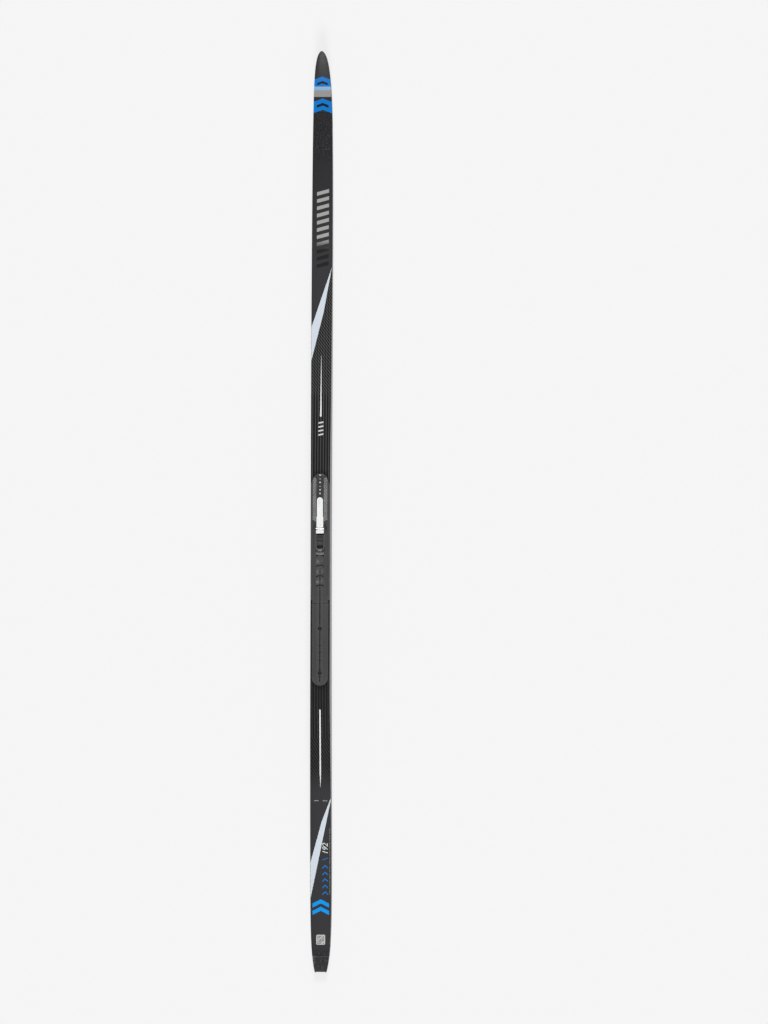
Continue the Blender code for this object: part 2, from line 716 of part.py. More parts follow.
def release_lever():
    """Long arm to the front, a neck on the axle and a short wide foot behind it that works the jaw."""
    low, high = up(AXLE_UP - LEVER_HALF_THICKNESS), up(AXLE_UP + LEVER_HALF_THICKNESS)
    arm_front = arc(0, LEVER_FRONT_Y - LEVER_HALF_WIDTH, LEVER_HALF_WIDTH, LEVER_HALF_WIDTH, 0, 180, 14)
    shoulder = [
        (LEVER_SHOULDER_HALF_WIDTH, LEVER_REAR_Y), (LEVER_SHOULDER_HALF_WIDTH, LEVER_SHOULDER_Y - CUT_OVERLAP),
        (LEVER_HALF_WIDTH, LEVER_SHOULDER_Y),
    ]
    arm = shoulder + arm_front + [(-x, y) for x, y in shoulder[::-1]]
    lever = slab(arm, low, high)
    neck = box(
        (-LEVER_NECK_HALF_WIDTH, FOOT_FRONT_Y - CUT_OVERLAP, low + 0.00005),
        (LEVER_NECK_HALF_WIDTH, LEVER_REAR_Y + CUT_OVERLAP, high - 0.00005),
    )
    combine(lever, neck, "UNION")
    foot = box((-FOOT_HALF_WIDTH, FOOT_REAR_Y, low), (FOOT_HALF_WIDTH, FOOT_FRONT_Y, high))
    combine(lever, foot, "UNION")
    hub = cylinder(
        LEVER_HUB_RADIUS, (-LEVER_NECK_HALF_WIDTH, AXLE_Y, up(AXLE_UP)),
        (LEVER_NECK_HALF_WIDTH, AXLE_Y, up(AXLE_UP)), 24,
    )
    combine(lever, hub, "UNION")
    bore = cylinder(AXLE_RADIUS + GAP, (-0.009, AXLE_Y, up(AXLE_UP)), (0.009, AXLE_Y, up(AXLE_UP)), 24)
    combine(lever, bore, "DIFFERENCE")
    return finish(lever, "release_lever", "lever_white")


def lever_axle():
    ends = ((-AXLE_HALF_LENGTH, AXLE_Y, up(AXLE_UP)), (AXLE_HALF_LENGTH, AXLE_Y, up(AXLE_UP)))
    return finish(cylinder(AXLE_RADIUS, *ends, 20), "lever_axle", "steel")


def side_profile(points, half):
    """A profile in Y and height above the plateau, as thick as the piece is wide."""
    sections = [[(x, y, up(z)) for y, z in points] for x in (-half, half)]
    return sections


def jaw_slider():
    """Steel strip with the hook that traps the boot's toe bar, the lug and the spring tab."""
    tab_front = SPRING_REAR_Y - GAP
    profile = [
        (HOOK_REAR_Y, SLIDER_LOW),
        (tab_front, SLIDER_LOW),
        (tab_front, TAB_HIGH),
        (TAB_REAR_Y, TAB_HIGH),
        (TAB_REAR_Y, SLIDER_HIGH),
        (LUG_FRONT_Y, SLIDER_HIGH),
        (LUG_FRONT_Y, LUG_HIGH),
        (LUG_REAR_Y, LUG_HIGH),
        (LUG_REAR_Y, SLIDER_HIGH),
        (HOOK_FRONT_Y, SLIDER_HIGH),
        (HOOK_FRONT_Y, HOOK_HIGH),
        (HOOK_NOSE_REAR_Y + 0.0010, HOOK_HIGH),
        (HOOK_NOSE_REAR_Y, HOOK_NOSE_LOW + 0.0006),
        (HOOK_NOSE_REAR_Y, HOOK_NOSE_LOW),
        (HOOK_REAR_Y, HOOK_NOSE_LOW),
    ]
    return loft("jaw_slider", "steel", side_profile(profile, SLIDER_HALF_WIDTH))


def toe_bar_cradle():
    """Steel saddle that the boot's toe bar lies in: two cheeks joined by a bridge behind the bar."""
    front, rear = CRADLE_FRONT_Y, RAIL_FRONT_Y + 2 * GAP
    floor = BAR_UP - BAR_HALF_SLOT
    slot_rear, slot_front = BAR_Y - BAR_HALF_SLOT, BAR_Y + BAR_HALF_SLOT
    profile = [
        (rear, SLIDER_LOW),
        (front, SLIDER_LOW),
        (front, 0.0090),
        (slot_front + 0.0010, 0.0100),
        (slot_front, 0.0088),
        (slot_front, floor + 0.0006),
        (slot_front - 0.0006, floor),
        (slot_rear + 0.0006, floor),
        (slot_rear, floor + 0.0006),
        (slot_rear, 0.0114),
        (slot_rear - 0.0012, 0.0120),
        (rear, 0.0108),
    ]
    cradle = loft("toe_bar_cradle", "steel", side_profile(profile, CRADLE_HALF_WIDTH))
    passage = box((-CRADLE_PASSAGE, slot_rear, up(-CUT_OVERLAP)), (CRADLE_PASSAGE, front + 0.002, up(ABOVE_ALL)))
    combine(cradle, passage, "DIFFERENCE")
    return finish(cradle, "toe_bar_cradle", "steel")


def flexor():
    """Rubber bumper that the boot's toe rolls against, ribbed across the top."""
    low, high = FLEXOR_LOW, FLEXOR_HIGH
    profile = [(FLEXOR_REAR_Y, low), (FLEXOR_FRONT_Y, low), (FLEXOR_FRONT_Y, high - 0.0012)]
    profile += [(FLEXOR_FRONT_Y - 0.0012, high)]
    for y in FLEXOR_GROOVES_Y:
        profile += [(y + 0.0007, high), (y + 0.0004, high - 0.0016), (y - 0.0004, high - 0.0016), (y - 0.0007, high)]
    profile += [(FLEXOR_REAR_Y + 0.0030, high), (FLEXOR_REAR_Y, high - 0.0035)]
    rubber = loft("flexor", "flexor_rubber", side_profile(profile, FLEXOR_HALF_WIDTH))
    hole = cylinder(PIN_RADIUS + GAP, (0, PIN_Y, up(PIN_LOW - GAP)), (0, PIN_Y, up(0.030)), 16)
    combine(rubber, hole, "DIFFERENCE")
    return finish(rubber, "flexor", "flexor_rubber")


def flexor_pin():
    """Small pin that keeps the flexor in place."""
    pin = cylinder(PIN_RADIUS, (0, PIN_Y, up(PIN_LOW)), (0, PIN_Y, up(PIN_HIGH)), 16)
    return finish(pin, "flexor_pin", "steel")


def jaw_spring():
    """Compression spring that holds the jaw shut, along the ski."""
    steps_per_turn = 14
    total = SPRING_TURNS * steps_per_turn
    curve = bpy.data.curves.new("jaw_spring", "CURVE")
    curve.dimensions = "3D"
    curve.bevel_depth = SPRING_WIRE
    curve.bevel_resolution = 1
    curve.use_fill_caps = True
    spline = curve.splines.new("POLY")
    spline.points.add(total)
    start, end = SPRING_REAR_Y + SPRING_WIRE + GAP, SPRING_FRONT_Y - SPRING_WIRE - GAP
    for i, point in enumerate(spline.points):
        angle = 2 * math.pi * i / steps_per_turn
        x, z = SPRING_RADIUS * math.cos(angle), SPRING_RADIUS * math.sin(angle)
        point.co = (x, start + (end - start) * i / total, up(SPRING_UP) + z, 1)
    obj = bpy.data.objects.new("jaw_spring", curve)
    PARTS.objects.link(obj)
    curve.materials.append(material("spring_steel"))
    return obj


def screw(name):
    """A binding screw: turned head and shank with a cross recess."""
    x, y = SCREW_PLACES[name]
    head, shank = SCREW_HEAD_RADIUS, SCREW_SHANK_RADIUS
    profile = [
        (0.0, SCREW_HEAD_HIGH),
        (head - 0.0008, SCREW_HEAD_HIGH),
        (head, SCREW_HEAD_HIGH - 0.0006),
        (head, SCREW_HEAD_LOW + 0.0004),
        (shank, SCREW_HEAD_LOW),
        (shank, -SCREW_DEPTH + 0.003),
        (0.0, -SCREW_DEPTH),
    ]
    mesh = bpy.data.meshes.new(name)
    mesh.from_pydata([(r, 0, up(z)) for r, z in profile], [(i, i + 1) for i in range(len(profile) - 1)], [])
    obj = bpy.data.objects.new(name, mesh)
    bpy.context.scene.collection.objects.link(obj)
    turned = obj.modifiers.new("turned", "SCREW")
    turned.steps = turned.render_steps = 16
    turned.use_merge_vertices = True
    turned.merge_threshold = 1e-5
    turned.use_smooth_shade = False
    bpy.context.view_layer.objects.active = obj
    obj.select_set(True)
    bpy.ops.object.modifier_apply(modifier=turned.name)
    for half in ((0.0018, 0.00045), (0.00045, 0.0018)):
        recess = box(
            (-half[0], -half[1], up(SCREW_HEAD_HIGH - 0.0015)), (half[0], half[1], up(SCREW_HEAD_HIGH + 0.001))
        )
        combine(obj, recess, "DIFFERENCE")
    obj.location = (x, y, 0)
    return finish(obj, name, "screw_black")


def cut_screw_holes(layers):
    """Pilot holes for the five screws through the upper layers and into the core."""
    for layer in layers:
        combine(layer, shank_cutter(SCREW_PLACES, -SCREW_DEPTH - 0.001, 0.001), "DIFFERENCE")


def build():
    base_sheet()
    lower_laminate()
    drilled = [core(), binding_reinforcement(), upper_laminate(), topsheet()]
    cut_screw_holes(drilled)
    sidewall(-1)
    sidewall(1)
    between_sheets("tip_spacer", CORE_FRONT_Y + GAP, LENGTH / 2 - 0.0008)
    between_sheets("tail_spacer", TAIL_CAP_Y + GAP, CORE_REAR_Y - GAP)
    tail_protector()
    toe_plate()
    heel_plate()
    housing_cover()
    release_lever()
    lever_axle()
    jaw_slider()
    jaw_spring()
    toe_bar_cradle()
    flexor()
    flexor_pin()
    for name in SCREW_PLACES:
        screw(name)


clear_scene()
PARTS = new_collection("cross_country_ski")
build()
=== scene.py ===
"""The finished look of a skating-style cross country ski with its toe-bar binding.

Laid out as an add-on: sizes and colours are properties, and each group of pieces has an operator.
"""

import json
import math
from contextlib import contextmanager

import bmesh
import bpy
from mathutils import Matrix, Vector


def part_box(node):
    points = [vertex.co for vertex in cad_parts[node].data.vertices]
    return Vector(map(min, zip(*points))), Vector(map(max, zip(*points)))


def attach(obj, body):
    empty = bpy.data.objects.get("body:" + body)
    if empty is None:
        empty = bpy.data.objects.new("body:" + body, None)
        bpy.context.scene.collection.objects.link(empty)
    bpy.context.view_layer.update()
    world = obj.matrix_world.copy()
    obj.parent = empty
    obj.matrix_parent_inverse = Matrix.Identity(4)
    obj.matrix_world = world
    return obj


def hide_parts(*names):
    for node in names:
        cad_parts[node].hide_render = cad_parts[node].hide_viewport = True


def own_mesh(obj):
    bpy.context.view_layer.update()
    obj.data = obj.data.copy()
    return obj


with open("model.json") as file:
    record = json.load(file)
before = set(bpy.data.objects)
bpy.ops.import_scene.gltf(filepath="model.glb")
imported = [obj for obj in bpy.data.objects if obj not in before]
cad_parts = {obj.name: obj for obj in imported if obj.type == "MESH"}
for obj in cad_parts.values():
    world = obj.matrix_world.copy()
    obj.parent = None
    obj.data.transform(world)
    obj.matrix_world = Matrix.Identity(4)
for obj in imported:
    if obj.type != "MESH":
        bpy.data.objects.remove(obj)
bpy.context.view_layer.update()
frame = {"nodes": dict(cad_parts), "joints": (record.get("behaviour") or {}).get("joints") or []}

bl_info = {
    "name": "Cross country ski",
    "version": (1, 0, 0),
    "blender": (4, 5, 0),
    "location": "3D View > Sidebar > Ski",
    "description": "Builds the visible pieces of a cross country ski and its binding",
    "category": "Object",
}

SHORT_EDGE = 0.00008  # a shorter edge would hold back every rounding on its piece
SAME_POINT = 0.000002
PLATE_TOP = 0.0055  # above the deck
RAIL_STEP = 0.0083  # floor of the rail's cross grooves, above the deck
SINK = 0.0002  # how far a moulded ridge, pad or rib reaches into its face
SUN_LEAN, SUN_WIDTH = math.radians(52), math.radians(20)
TIP_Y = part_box("topsheet")[1].y
TAIL_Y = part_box("tail_protector")[0].y
CAP_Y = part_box("tail_protector")[1].y
CORE_FRONT_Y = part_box("core")[1].y
CORE_REAR_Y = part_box("core")[0].y
LAYER_GAP = 0.0003
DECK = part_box("toe_plate")[0].z - LAYER_GAP
AXLE = Vector(next(joint["pos_m"] for joint in frame["joints"] if joint["name"] == "lever_hinge"))


# Sizes and colours


def length(name, description, default):
    return bpy.props.FloatProperty(
        name=name, description=description, default=default, unit="LENGTH", precision=5
    )


def amount(name, description, default):
    return bpy.props.FloatProperty(name=name, description=description, default=default)


def colour(name, description, default):
    return bpy.props.FloatVectorProperty(
        name=name, description=description, default=default, subtype="COLOR", size=3, min=0, max=1
    )


class SkiSizes(bpy.types.PropertyGroup):
    film: length("Top film", "Thickness of the printed top film", 0.0006)
    base: length("Base sheet", "Thickness of the running base", 0.0012)
    sidewall: length("Sidewall", "Thickness of a sidewall", 0.0040)
    groove_depth: length("Groove depth", "Depth of the guide groove in the base", 0.0014)
    groove_half: length("Groove half width", "Half the groove's width at its mouth", 0.0046)
    print_depth: length("Print depth", "Thickness of one layer of print", 0.0001)
    moulded_round: length("Moulded rounding", "Rounding on moulded edges", 0.00035)
    cover_wall: length("Cover wall", "Wall of the housing cover", 0.0015)
    rib_pitch: length("Rib pitch", "Distance between the cover's side ribs", 0.0030)
    lean: amount("Sidewall lean", "How far a sidewall leans in per unit of height", 0.078)
    rings: bpy.props.IntProperty(
        name="Rings", description="Edge loops along the ski", default=110, min=40, max=300
    )


class SkiColours(bpy.types.PropertyGroup):
    film_grey: colour("Film grey", "Plain parts of the top film", (0.032, 0.032, 0.035))
    film_black: colour("Film black", "Ground under the stripes", (0.0030, 0.0030, 0.0036))
    film_line: colour("Film stripe", "Stripes of the top film", (0.062, 0.062, 0.061))
    blue: colour("Blue", "Chevrons and small marks", (0.0002, 0.185, 0.600))
    bright_blue: colour("Bright blue", "Emblem near the tail", (0.001, 0.310, 0.850))
    ice: colour("Ice", "Long wedges", (0.660, 0.715, 0.790))
    white: colour("White", "Centre lines and the size mark", (0.800, 0.810, 0.810))
    band: colour("Band", "Grey band at the tip", (0.305, 0.297, 0.290))
    label: colour("Label", "Label near the tail", (0.520, 0.530, 0.510))
    silver: colour("Silver", "Sidewalls", (0.215, 0.215, 0.238))
    graphite: colour("Graphite", "Running base", (0.010, 0.010, 0.011))
    plate: colour("Plate", "Plates of the binding", (0.055, 0.055, 0.056))
    smoke: colour("Smoke", "Housing cover", (0.040, 0.040, 0.042))
    lever: colour("Lever", "Release lever", (0.900, 0.912, 0.895))


class SkiStage(bpy.types.PropertyGroup):
    tilt: bpy.props.FloatProperty(
        name="Tilt", description="Camera's turn round the ski's length, from straight above",
        default=math.radians(3.95), subtype="ANGLE",
    )
    roll: bpy.props.FloatProperty(
        name="Roll", description="Camera's turn round its own line of sight",
        default=math.radians(0.14), subtype="ANGLE",
    )
    lens: bpy.props.FloatProperty(
        name="Lens", description="Focal length", default=500.0, unit="CAMERA"
    )
    tall: length("Height seen", "Length seen from top to bottom of the picture", 2.1354)
    aside: length("Aside", "How far the view's middle lies to the right of the ski", 0.1291)
    ahead: length("Ahead", "How far the view's middle lies in front of the ski's middle", 0.0006)
    floor: colour("Floor", "Floor", (0.180, 0.180, 0.181))
    glow: amount("Glow", "Light that the floor gives off", 0.735)
    key: amount("Key", "Strength of each key light", 1.85)
    fill: amount("Fill", "Strength of the light all round", 0.28)


def sizes():
    return bpy.context.scene.ski_sizes


def colours():
    return bpy.context.scene.ski_colours


# The ski's lines, measured on the frame


def measured(nodes, pick):
    """What pick finds among the nodes' points at each station along the ski, in order from the tail."""
    stations = {}
    for node in nodes:
        for vertex in frame["nodes"][node].data.vertices:
            stations.setdefault(round(vertex.co.y, 4), []).append(vertex.co)
    return sorted((y, pick(points)) for y, points in stations.items())


BASE_LINE = measured(("base_sheet", "tail_protector"), lambda points: min(p.z for p in points))
TOP_LINE = measured(("topsheet", "tail_protector"), lambda points: max(p.z for p in points))
WIDTH_LINE = measured(("base_sheet", "tail_protector"), lambda points: max(p.x for p in points))


def line_at(line, y):
    """Height or half width at y, on a smooth line through the measured stations."""
    if y <= line[0][0]:
        return line[0][1]
    if y >= line[-1][0]:
        return line[-1][1]
    i = next(i for i in range(1, len(line)) if line[i][0] >= y)
    (y0, a), (y1, b) = line[i - 1], line[i]
    span = y1 - y0

    def slope(j):
        before, after = line[max(j - 1, 0)], line[min(j + 1, len(line) - 1)]
        return (after[1] - before[1]) / (after[0] - before[0])

    t = (y - y0) / span
    rise = t * t * (3 - 2 * t)
    start = slope(i - 1) * span * t * (1 - t) ** 2
    end = slope(i) * span * t * t * (t - 1)
    return a + (b - a) * rise + start + end


def smooth_step(t):
    t = min(1.0, max(0.0, t))
    return t * t * (3 - 2 * t)


# Modelling by operators


def only(obj):
    """Selects just this object."""
    bpy.ops.object.select_all(action="DESELECT")
    obj.select_set(True)
    bpy.context.view_layer.objects.active = obj


@contextmanager
def editing(obj):
    only(obj)
    bpy.ops.object.mode_set(mode="EDIT")
    yield
    bpy.ops.object.mode_set(mode="OBJECT")


def add_box(name, low, high):
    """A primitive box between two corners, with its place in its mesh."""
    bpy.ops.object.select_all(action="DESELECT")
    bpy.ops.mesh.primitive_cube_add(size=1, location=[(a + b) / 2 for a, b in zip(low, high)])
    obj = bpy.context.object
    obj.scale = [b - a for a, b in zip(low, high)]
    bpy.ops.object.transform_apply(location=True, rotation=True, scale=True)
    obj.name = obj.data.name = name
    return obj


def add_sheet(name, low, high, height=0.05):
    """A primitive rectangle between two corners, above the ski."""
    bpy.ops.object.select_all(action="DESELECT")
    middle = ((low[0] + high[0]) / 2, (low[1] + high[1]) / 2, height)
    bpy.ops.mesh.primitive_plane_add(size=1, location=middle)
    obj = bpy.context.object
    obj.scale = (high[0] - low[0], high[1] - low[1], 1)
    bpy.ops.object.transform_apply(location=True, rotation=True, scale=True)
    obj.name = obj.data.name = name
    return obj


def add_cylinder(name, radius, start, end, sides=32):
    """A primitive cylinder from start to end."""
    start, end = Vector(start), Vector(end)
    bpy.ops.object.select_all(action="DESELECT")
    bpy.ops.mesh.primitive_cylinder_add(
        vertices=sides, radius=radius, depth=(end - start).length, location=(start + end) / 2,
        rotation=(end - start).to_track_quat("Z", "Y").to_euler(),
    )
    bpy.ops.object.transform_apply(location=True, rotation=True, scale=True)
    bpy.context.object.name = bpy.context.object.data.name = name
    return bpy.context.object


def copy_of(obj, name):
    """A copy with its own mesh, standing free at the origin."""
    copy = bpy.data.objects.new(name, obj.data.copy())
    copy.data.name = name
    bpy.context.scene.collection.objects.link(copy)
    return copy


def remove(*objects):
    for obj in objects:
        bpy.data.objects.remove(obj, do_unlink=True)


def whole_copy(node, name):
    """A copy of a CAD solid, its points merged and its flat faces made whole."""
    obj = copy_of(frame["nodes"][node], name)
    with editing(obj):
        bpy.ops.mesh.select_all(action="SELECT")
        bpy.ops.mesh.remove_doubles(threshold=SAME_POINT)
        bpy.ops.mesh.dissolve_limited(angle_limit=math.radians(0.5))
        bpy.ops.mesh.remove_doubles(threshold=SHORT_EDGE)
        bpy.ops.mesh.normals_make_consistent(inside=False)
    return obj


def choose(obj, test, kind="VERT"):
    """In edit mode, selects just the points, edges or faces that pass the test.

    The test is given a point, an edge's two points, or a face's middle and normal.
    """
    bpy.ops.mesh.select_mode(type=kind)
    bpy.ops.mesh.select_all(action="DESELECT")
    mesh = bmesh.from_edit_mesh(obj.data)
    if kind == "VERT":
        for vertex in mesh.verts:
            vertex.select_set(test(vertex.co))
    elif kind == "EDGE":
        for edge in mesh.edges:
            if test(edge.verts[0].co, edge.verts[1].co):
                edge.select_set(True)
    else:
        for face in mesh.faces:
            if test(face.calc_center_median(), face.normal):
                face.select_set(True)
    bmesh.update_edit_mesh(obj.data)


def slice_at(axis, places):
    """In edit mode, cuts an edge loop right round at each place along an axis."""
    normal = [float(i == axis) for i in range(3)]
    for place in places:
        bpy.ops.mesh.select_all(action="SELECT")
        bpy.ops.mesh.bisect(plane_co=[place * part for part in normal], plane_no=normal)


def trim(point, outward, fill=False):
    """In edit mode, cuts away all that lies on the outward side of a plane."""
    bpy.ops.mesh.select_all(action="SELECT")
    bpy.ops.mesh.bisect(plane_co=point, plane_no=outward, use_fill=fill, clear_outer=True)


def apply(obj, kind, **settings):
    """Adds a modifier and applies it."""
    only(obj)
    modifier = obj.modifiers.new(kind.lower(), kind)
    for name, value in settings.items():
        setattr(modifier, name, value)
    bpy.ops.object.modifier_apply(modifier=modifier.name)


def combine(obj, tool, operation="DIFFERENCE"):
    apply(obj, "BOOLEAN", operation=operation, object=tool, solver="EXACT")
    remove(tool)


def round_edges(obj, width, segments=2, degrees=40, clamp=True):
    """Rounds the sharp edges. Without the clamp, a short edge doesn't hold back the others."""
    apply(
        obj, "BEVEL", width=width, segments=segments, use_clamp_overlap=clamp,
        limit_method="ANGLE", angle_limit=math.radians(degrees), miter_outer="MITER_ARC",
    )


def joined(objects, name):
    bpy.ops.object.select_all(action="DESELECT")
    for obj in objects:
        obj.select_set(True)
    bpy.context.view_layer.objects.active = objects[0]
    bpy.ops.object.join()
    bpy.context.object.name = bpy.context.object.data.name = name
    return bpy.context.object


def face_outwards(obj):
    with editing(obj):
        bpy.ops.mesh.select_all(action="SELECT")
        bpy.ops.mesh.remove_doubles(threshold=SAME_POINT)
        bpy.ops.mesh.normals_make_consistent(inside=False)


def done(obj, material, replaces=(), body="ski", degrees=35):
    """Shades a piece, gives it its finish and fixes it to its body."""
    only(obj)
    bpy.ops.object.shade_smooth_by_angle(angle=math.radians(degrees))
    obj.data.materials.clear()
    obj.data.materials.append(material)
    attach(obj, body)
    if replaces:
        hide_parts(*replaces)
    return obj


# Finishes


class Finish:
    """A material whose nodes are added by short calls.

    Patterns lie on object coordinates, in metres.
    """

    def __init__(self, name, roughness, metallic=0.0, coat=0.0):
        self.material = bpy.data.materials.new(name)
        self.material.use_nodes = True
        self.nodes = self.material.node_tree.nodes
        self.links = self.material.node_tree.links
        self.shader = self.nodes["Principled BSDF"]
        self.shader.inputs["Base Color"].default_value = (0.5, 0.5, 0.5, 1)
        self.shader.inputs["Roughness"].default_value = roughness
        self.shader.inputs["Metallic"].default_value = metallic
        self.shader.inputs["Coat Weight"].default_value = coat
        self.shader.inputs["Coat Roughness"].default_value = 0.12
        self.place = self.add("TexCoord").node.outputs["Object"]
        split = self.add("SeparateXYZ", self.place).node
        self.x, self.y, self.z = split.outputs

    def add(self, kind, *inputs, **settings):
        """Adds a node, feeding its inputs in order; None leaves one alone. Returns its first output."""
        node = self.nodes.new("ShaderNode" + kind)
        for name, value in settings.items():
            setattr(node, name, value)
        for socket, value in zip(node.inputs, inputs):
            self.feed(socket, value)
        return node.outputs[0]

    def feed(self, socket, value):
        if isinstance(value, bpy.types.NodeSocket):
            self.links.new(value, socket)
        elif value is not None:
            socket.default_value = value

    def math(self, operation, *values):
        return self.add("Math", *values, operation=operation)

    def step(self, value, start, end):
        """0 before start and 1 after end, smoothly."""
        return self.add("MapRange", value, start, end, 0.0, 1.0, interpolation_type="SMOOTHSTEP")

    def before(self, value, start, end):
        """1 before start and 0 after end, smoothly."""
        return self.math("SUBTRACT", 1.0, self.step(value, start, end))

    def both(self, *masks):
        product = masks[0]
        for mask in masks[1:]:
            product = self.math("MULTIPLY", product, mask)
        return product

    def mix(self, share, first, second):
        node = self.nodes.new("ShaderNodeMix")
        node.data_type = "RGBA"
        for i, value in ((0, share), (6, first), (7, second)):
            flat = isinstance(value, bpy.types.NodeSocket) or i == 0
            self.feed(node.inputs[i], value if flat else (*value, 1))
        return node.outputs[2]

    def grain(self, scale, stretch=(1, 1, 1), detail=4.0):
        """Noise with a cell count per metre, finer along the stretched axes."""
        place = self.add("Mapping", self.place).node
        place.inputs["Scale"].default_value = stretch
        noise = self.add("TexNoise", place.outputs[0]).node
        noise.inputs["Scale"].default_value = scale
        noise.inputs["Detail"].default_value = detail
        return noise.outputs[0]

    def cells(self, scale, feature="DISTANCE_TO_EDGE"):
        voronoi = self.add("TexVoronoi", self.place, feature=feature).node
        voronoi.inputs["Scale"].default_value = scale
        return voronoi.outputs[0]

    def paint(self, socket):
        self.links.new(socket, self.shader.inputs["Base Color"])
        return self

    def vary_roughness(self, noise, low, high):
        between = self.add("MapRange", noise, 0.3, 0.7, low, high)
        self.links.new(between, self.shader.inputs["Roughness"])
        return self

    def bump(self, height, distance, strength=1.0):
        bump = self.nodes.new("ShaderNodeBump")
        bump.inputs["Strength"].default_value = strength
        bump.inputs["Distance"].default_value = distance
        self.links.new(height, bump.inputs["Height"])
        self.links.new(bump.outputs[0], self.shader.inputs["Normal"])
        return self


def tone(rgb, factor):
    return tuple(min(1.0, part * factor) for part in rgb)


def mottled(finish, rgb, noise, low=0.85, high=1.15):
    """Paints a colour that drifts a little lighter and darker over the noise."""
    share = finish.add("MapRange", noise, 0.3, 0.7, 0.0, 1.0)
    return finish.paint(finish.mix(share, tone(rgb, low), tone(rgb, high)))


def film_finish():
    """Grey ends with cells, and a black waist whose stripes break up in front and slant behind."""
    c = colours()
    f = Finish("printed_film", 0.44)
    stripe_pitch, wave_length, wave_height = 0.0056, 0.0074, 0.0042
    waist_corner_x, waist_corner_y, waist_slope = 0.0206, 0.510, 4.77
    line_y = f.math("MULTIPLY_ADD", f.x, waist_slope, waist_corner_y - waist_corner_x * waist_slope)
    behind_wedge = f.step(f.math("SUBTRACT", line_y, f.y), -0.0005, 0.0005)
    rear_fade = f.step(f.y, -0.592, -0.520)
    waist = f.both(behind_wedge, rear_fade)
    wave_zone = f.step(f.y, 0.225, 0.262)
    wave = f.math("SUBTRACT", f.math("FRACT", f.math("MULTIPLY", f.y, 1 / wave_length)), 0.5)
    wave = f.both(wave, f.math("MULTIPLY", wave_zone, wave_height))
    slant = f.math("MULTIPLY", f.math("MINIMUM", f.math("ADD", f.y, 0.470), 0.0), 0.62)
    across = f.math("ADD", f.math("ADD", f.x, wave), slant)
    ripple = f.math("COSINE", f.math("MULTIPLY", across, 2 * math.pi / stripe_pitch))
    stripe = f.step(ripple, 0.25, 0.75)
    faded_line = f.mix(f.step(f.y, -0.330, -0.150), tone(c.film_line, 0.50), c.film_line)
    line = f.mix(wave_zone, faded_line, tone(c.film_line, 1.45))
    shade = f.mix(stripe, c.film_black, line)
    ground = f.mix(f.grain(420), tone(c.film_grey, 0.9), tone(c.film_grey, 1.12))
    fore_shade = f.both(f.step(f.y, 0.50, 0.76), f.before(f.y, 0.850, 0.925))
    ground = f.mix(f.math("MULTIPLY", fore_shade, 0.55), ground, tone(c.film_grey, 0.35))
    # Painted shade: the plain film is painted darker at the tip, against the key lights' glare on its
    # upturn.
    ground = f.mix(f.math("MULTIPLY", f.step(f.y, 0.880, 0.930), 0.60), ground, tone(c.film_grey, 0.30))
    tip_cells = f.both(f.step(f.y, 0.705, 0.760), f.before(f.y, 0.836, 0.842))
    tail_cells = f.before(f.y, -0.930, -0.895)
    cell_zone = f.math("MAXIMUM", tip_cells, tail_cells)
    cell_shade = f.mix(f.step(f.cells(250), 0.05, 0.16), tone(c.film_grey, 1.05), c.film_black)
    ends = f.mix(f.math("MULTIPLY", cell_zone, 0.85), ground, cell_shade)
    scuff = f.both(f.step(f.grain(260, (6, 1, 1)), 0.60, 0.74), f.before(f.y, -0.945, -0.915))
    ends = f.mix(f.both(scuff, f.before(f.x, -0.016, -0.009)), ends, tone(c.white, 0.7))
    f.shader.inputs["Specular IOR Level"].default_value = 0.32
    f.paint(f.mix(waist, ends, shade))
    f.vary_roughness(f.grain(900, (1, 0.05, 1)), 0.36, 0.50)
    return f.bump(f.grain(2600), 0.00001, 0.5).material


def cap_finish():
    """Black moulding with fine cells, grazed along its left-hand side."""
    f = Finish("tail_cap_moulding", 0.46)
    cells = f.mix(f.step(f.cells(250), 0.05, 0.16), (0.034, 0.034, 0.035), (0.003, 0.003, 0.004))
    graze = f.both(f.step(f.grain(300, (5, 1, 1)), 0.54, 0.68), f.before(f.x, -0.015, -0.009))
    f.paint(f.mix(f.math("MULTIPLY", graze, 0.8), cells, (0.50, 0.50, 0.50)))
    f.vary_roughness(f.grain(500), 0.38, 0.56)
    return f.bump(f.grain(2200), 0.00003, 0.6).material


def ink_finish(name, rgb, roughness=0.38):
    f = Finish(name, roughness)
    f.shader.inputs["Specular IOR Level"].default_value = 0.25
    mottled(f, rgb, f.grain(700), 0.95, 1.04)
    f.vary_roughness(f.grain(1500), roughness - 0.06, roughness + 0.08)
    return f.bump(f.grain(3000), 0.000008, 0.5).material


def fading_ink(name, rgb, dark, start_y, end_y):
    """Ink that fades from its colour at start to the dark one at end, along the ski."""
    f = Finish(name, 0.40)
    share = f.step(f.y, end_y, start_y)
    tint = f.mix(share, dark, rgb)
    f.paint(f.mix(f.math("MULTIPLY", f.grain(700), 0.16), tint, (0.02, 0.02, 0.02)))
    return f.bump(f.grain(3000), 0.000008, 0.5).material


def graphite_finish():
    """Ground base: fine lines along the ski and a faint cross structure."""
    f = Finish("ground_graphite", 0.46)
    lines = f.grain(5200, (1, 0.012, 0.2), 6.0)
    mottled(f, colours().graphite, lines, 0.7, 1.9)
    f.vary_roughness(f.grain(300, (1, 0.1, 1)), 0.38, 0.56)
    return f.bump(lines, 0.00003, 0.8).material


def sidewall_finish():
    f = Finish("silver_sidewall", 0.38)
    scratches = f.grain(2400, (0.2, 0.04, 1), 6.0)
    mottled(f, colours().silver, scratches, 0.86, 1.12)
    f.vary_roughness(scratches, 0.30, 0.50)
    return f.bump(f.grain(3500, (1, 0.1, 1)), 0.000015, 0.6).material


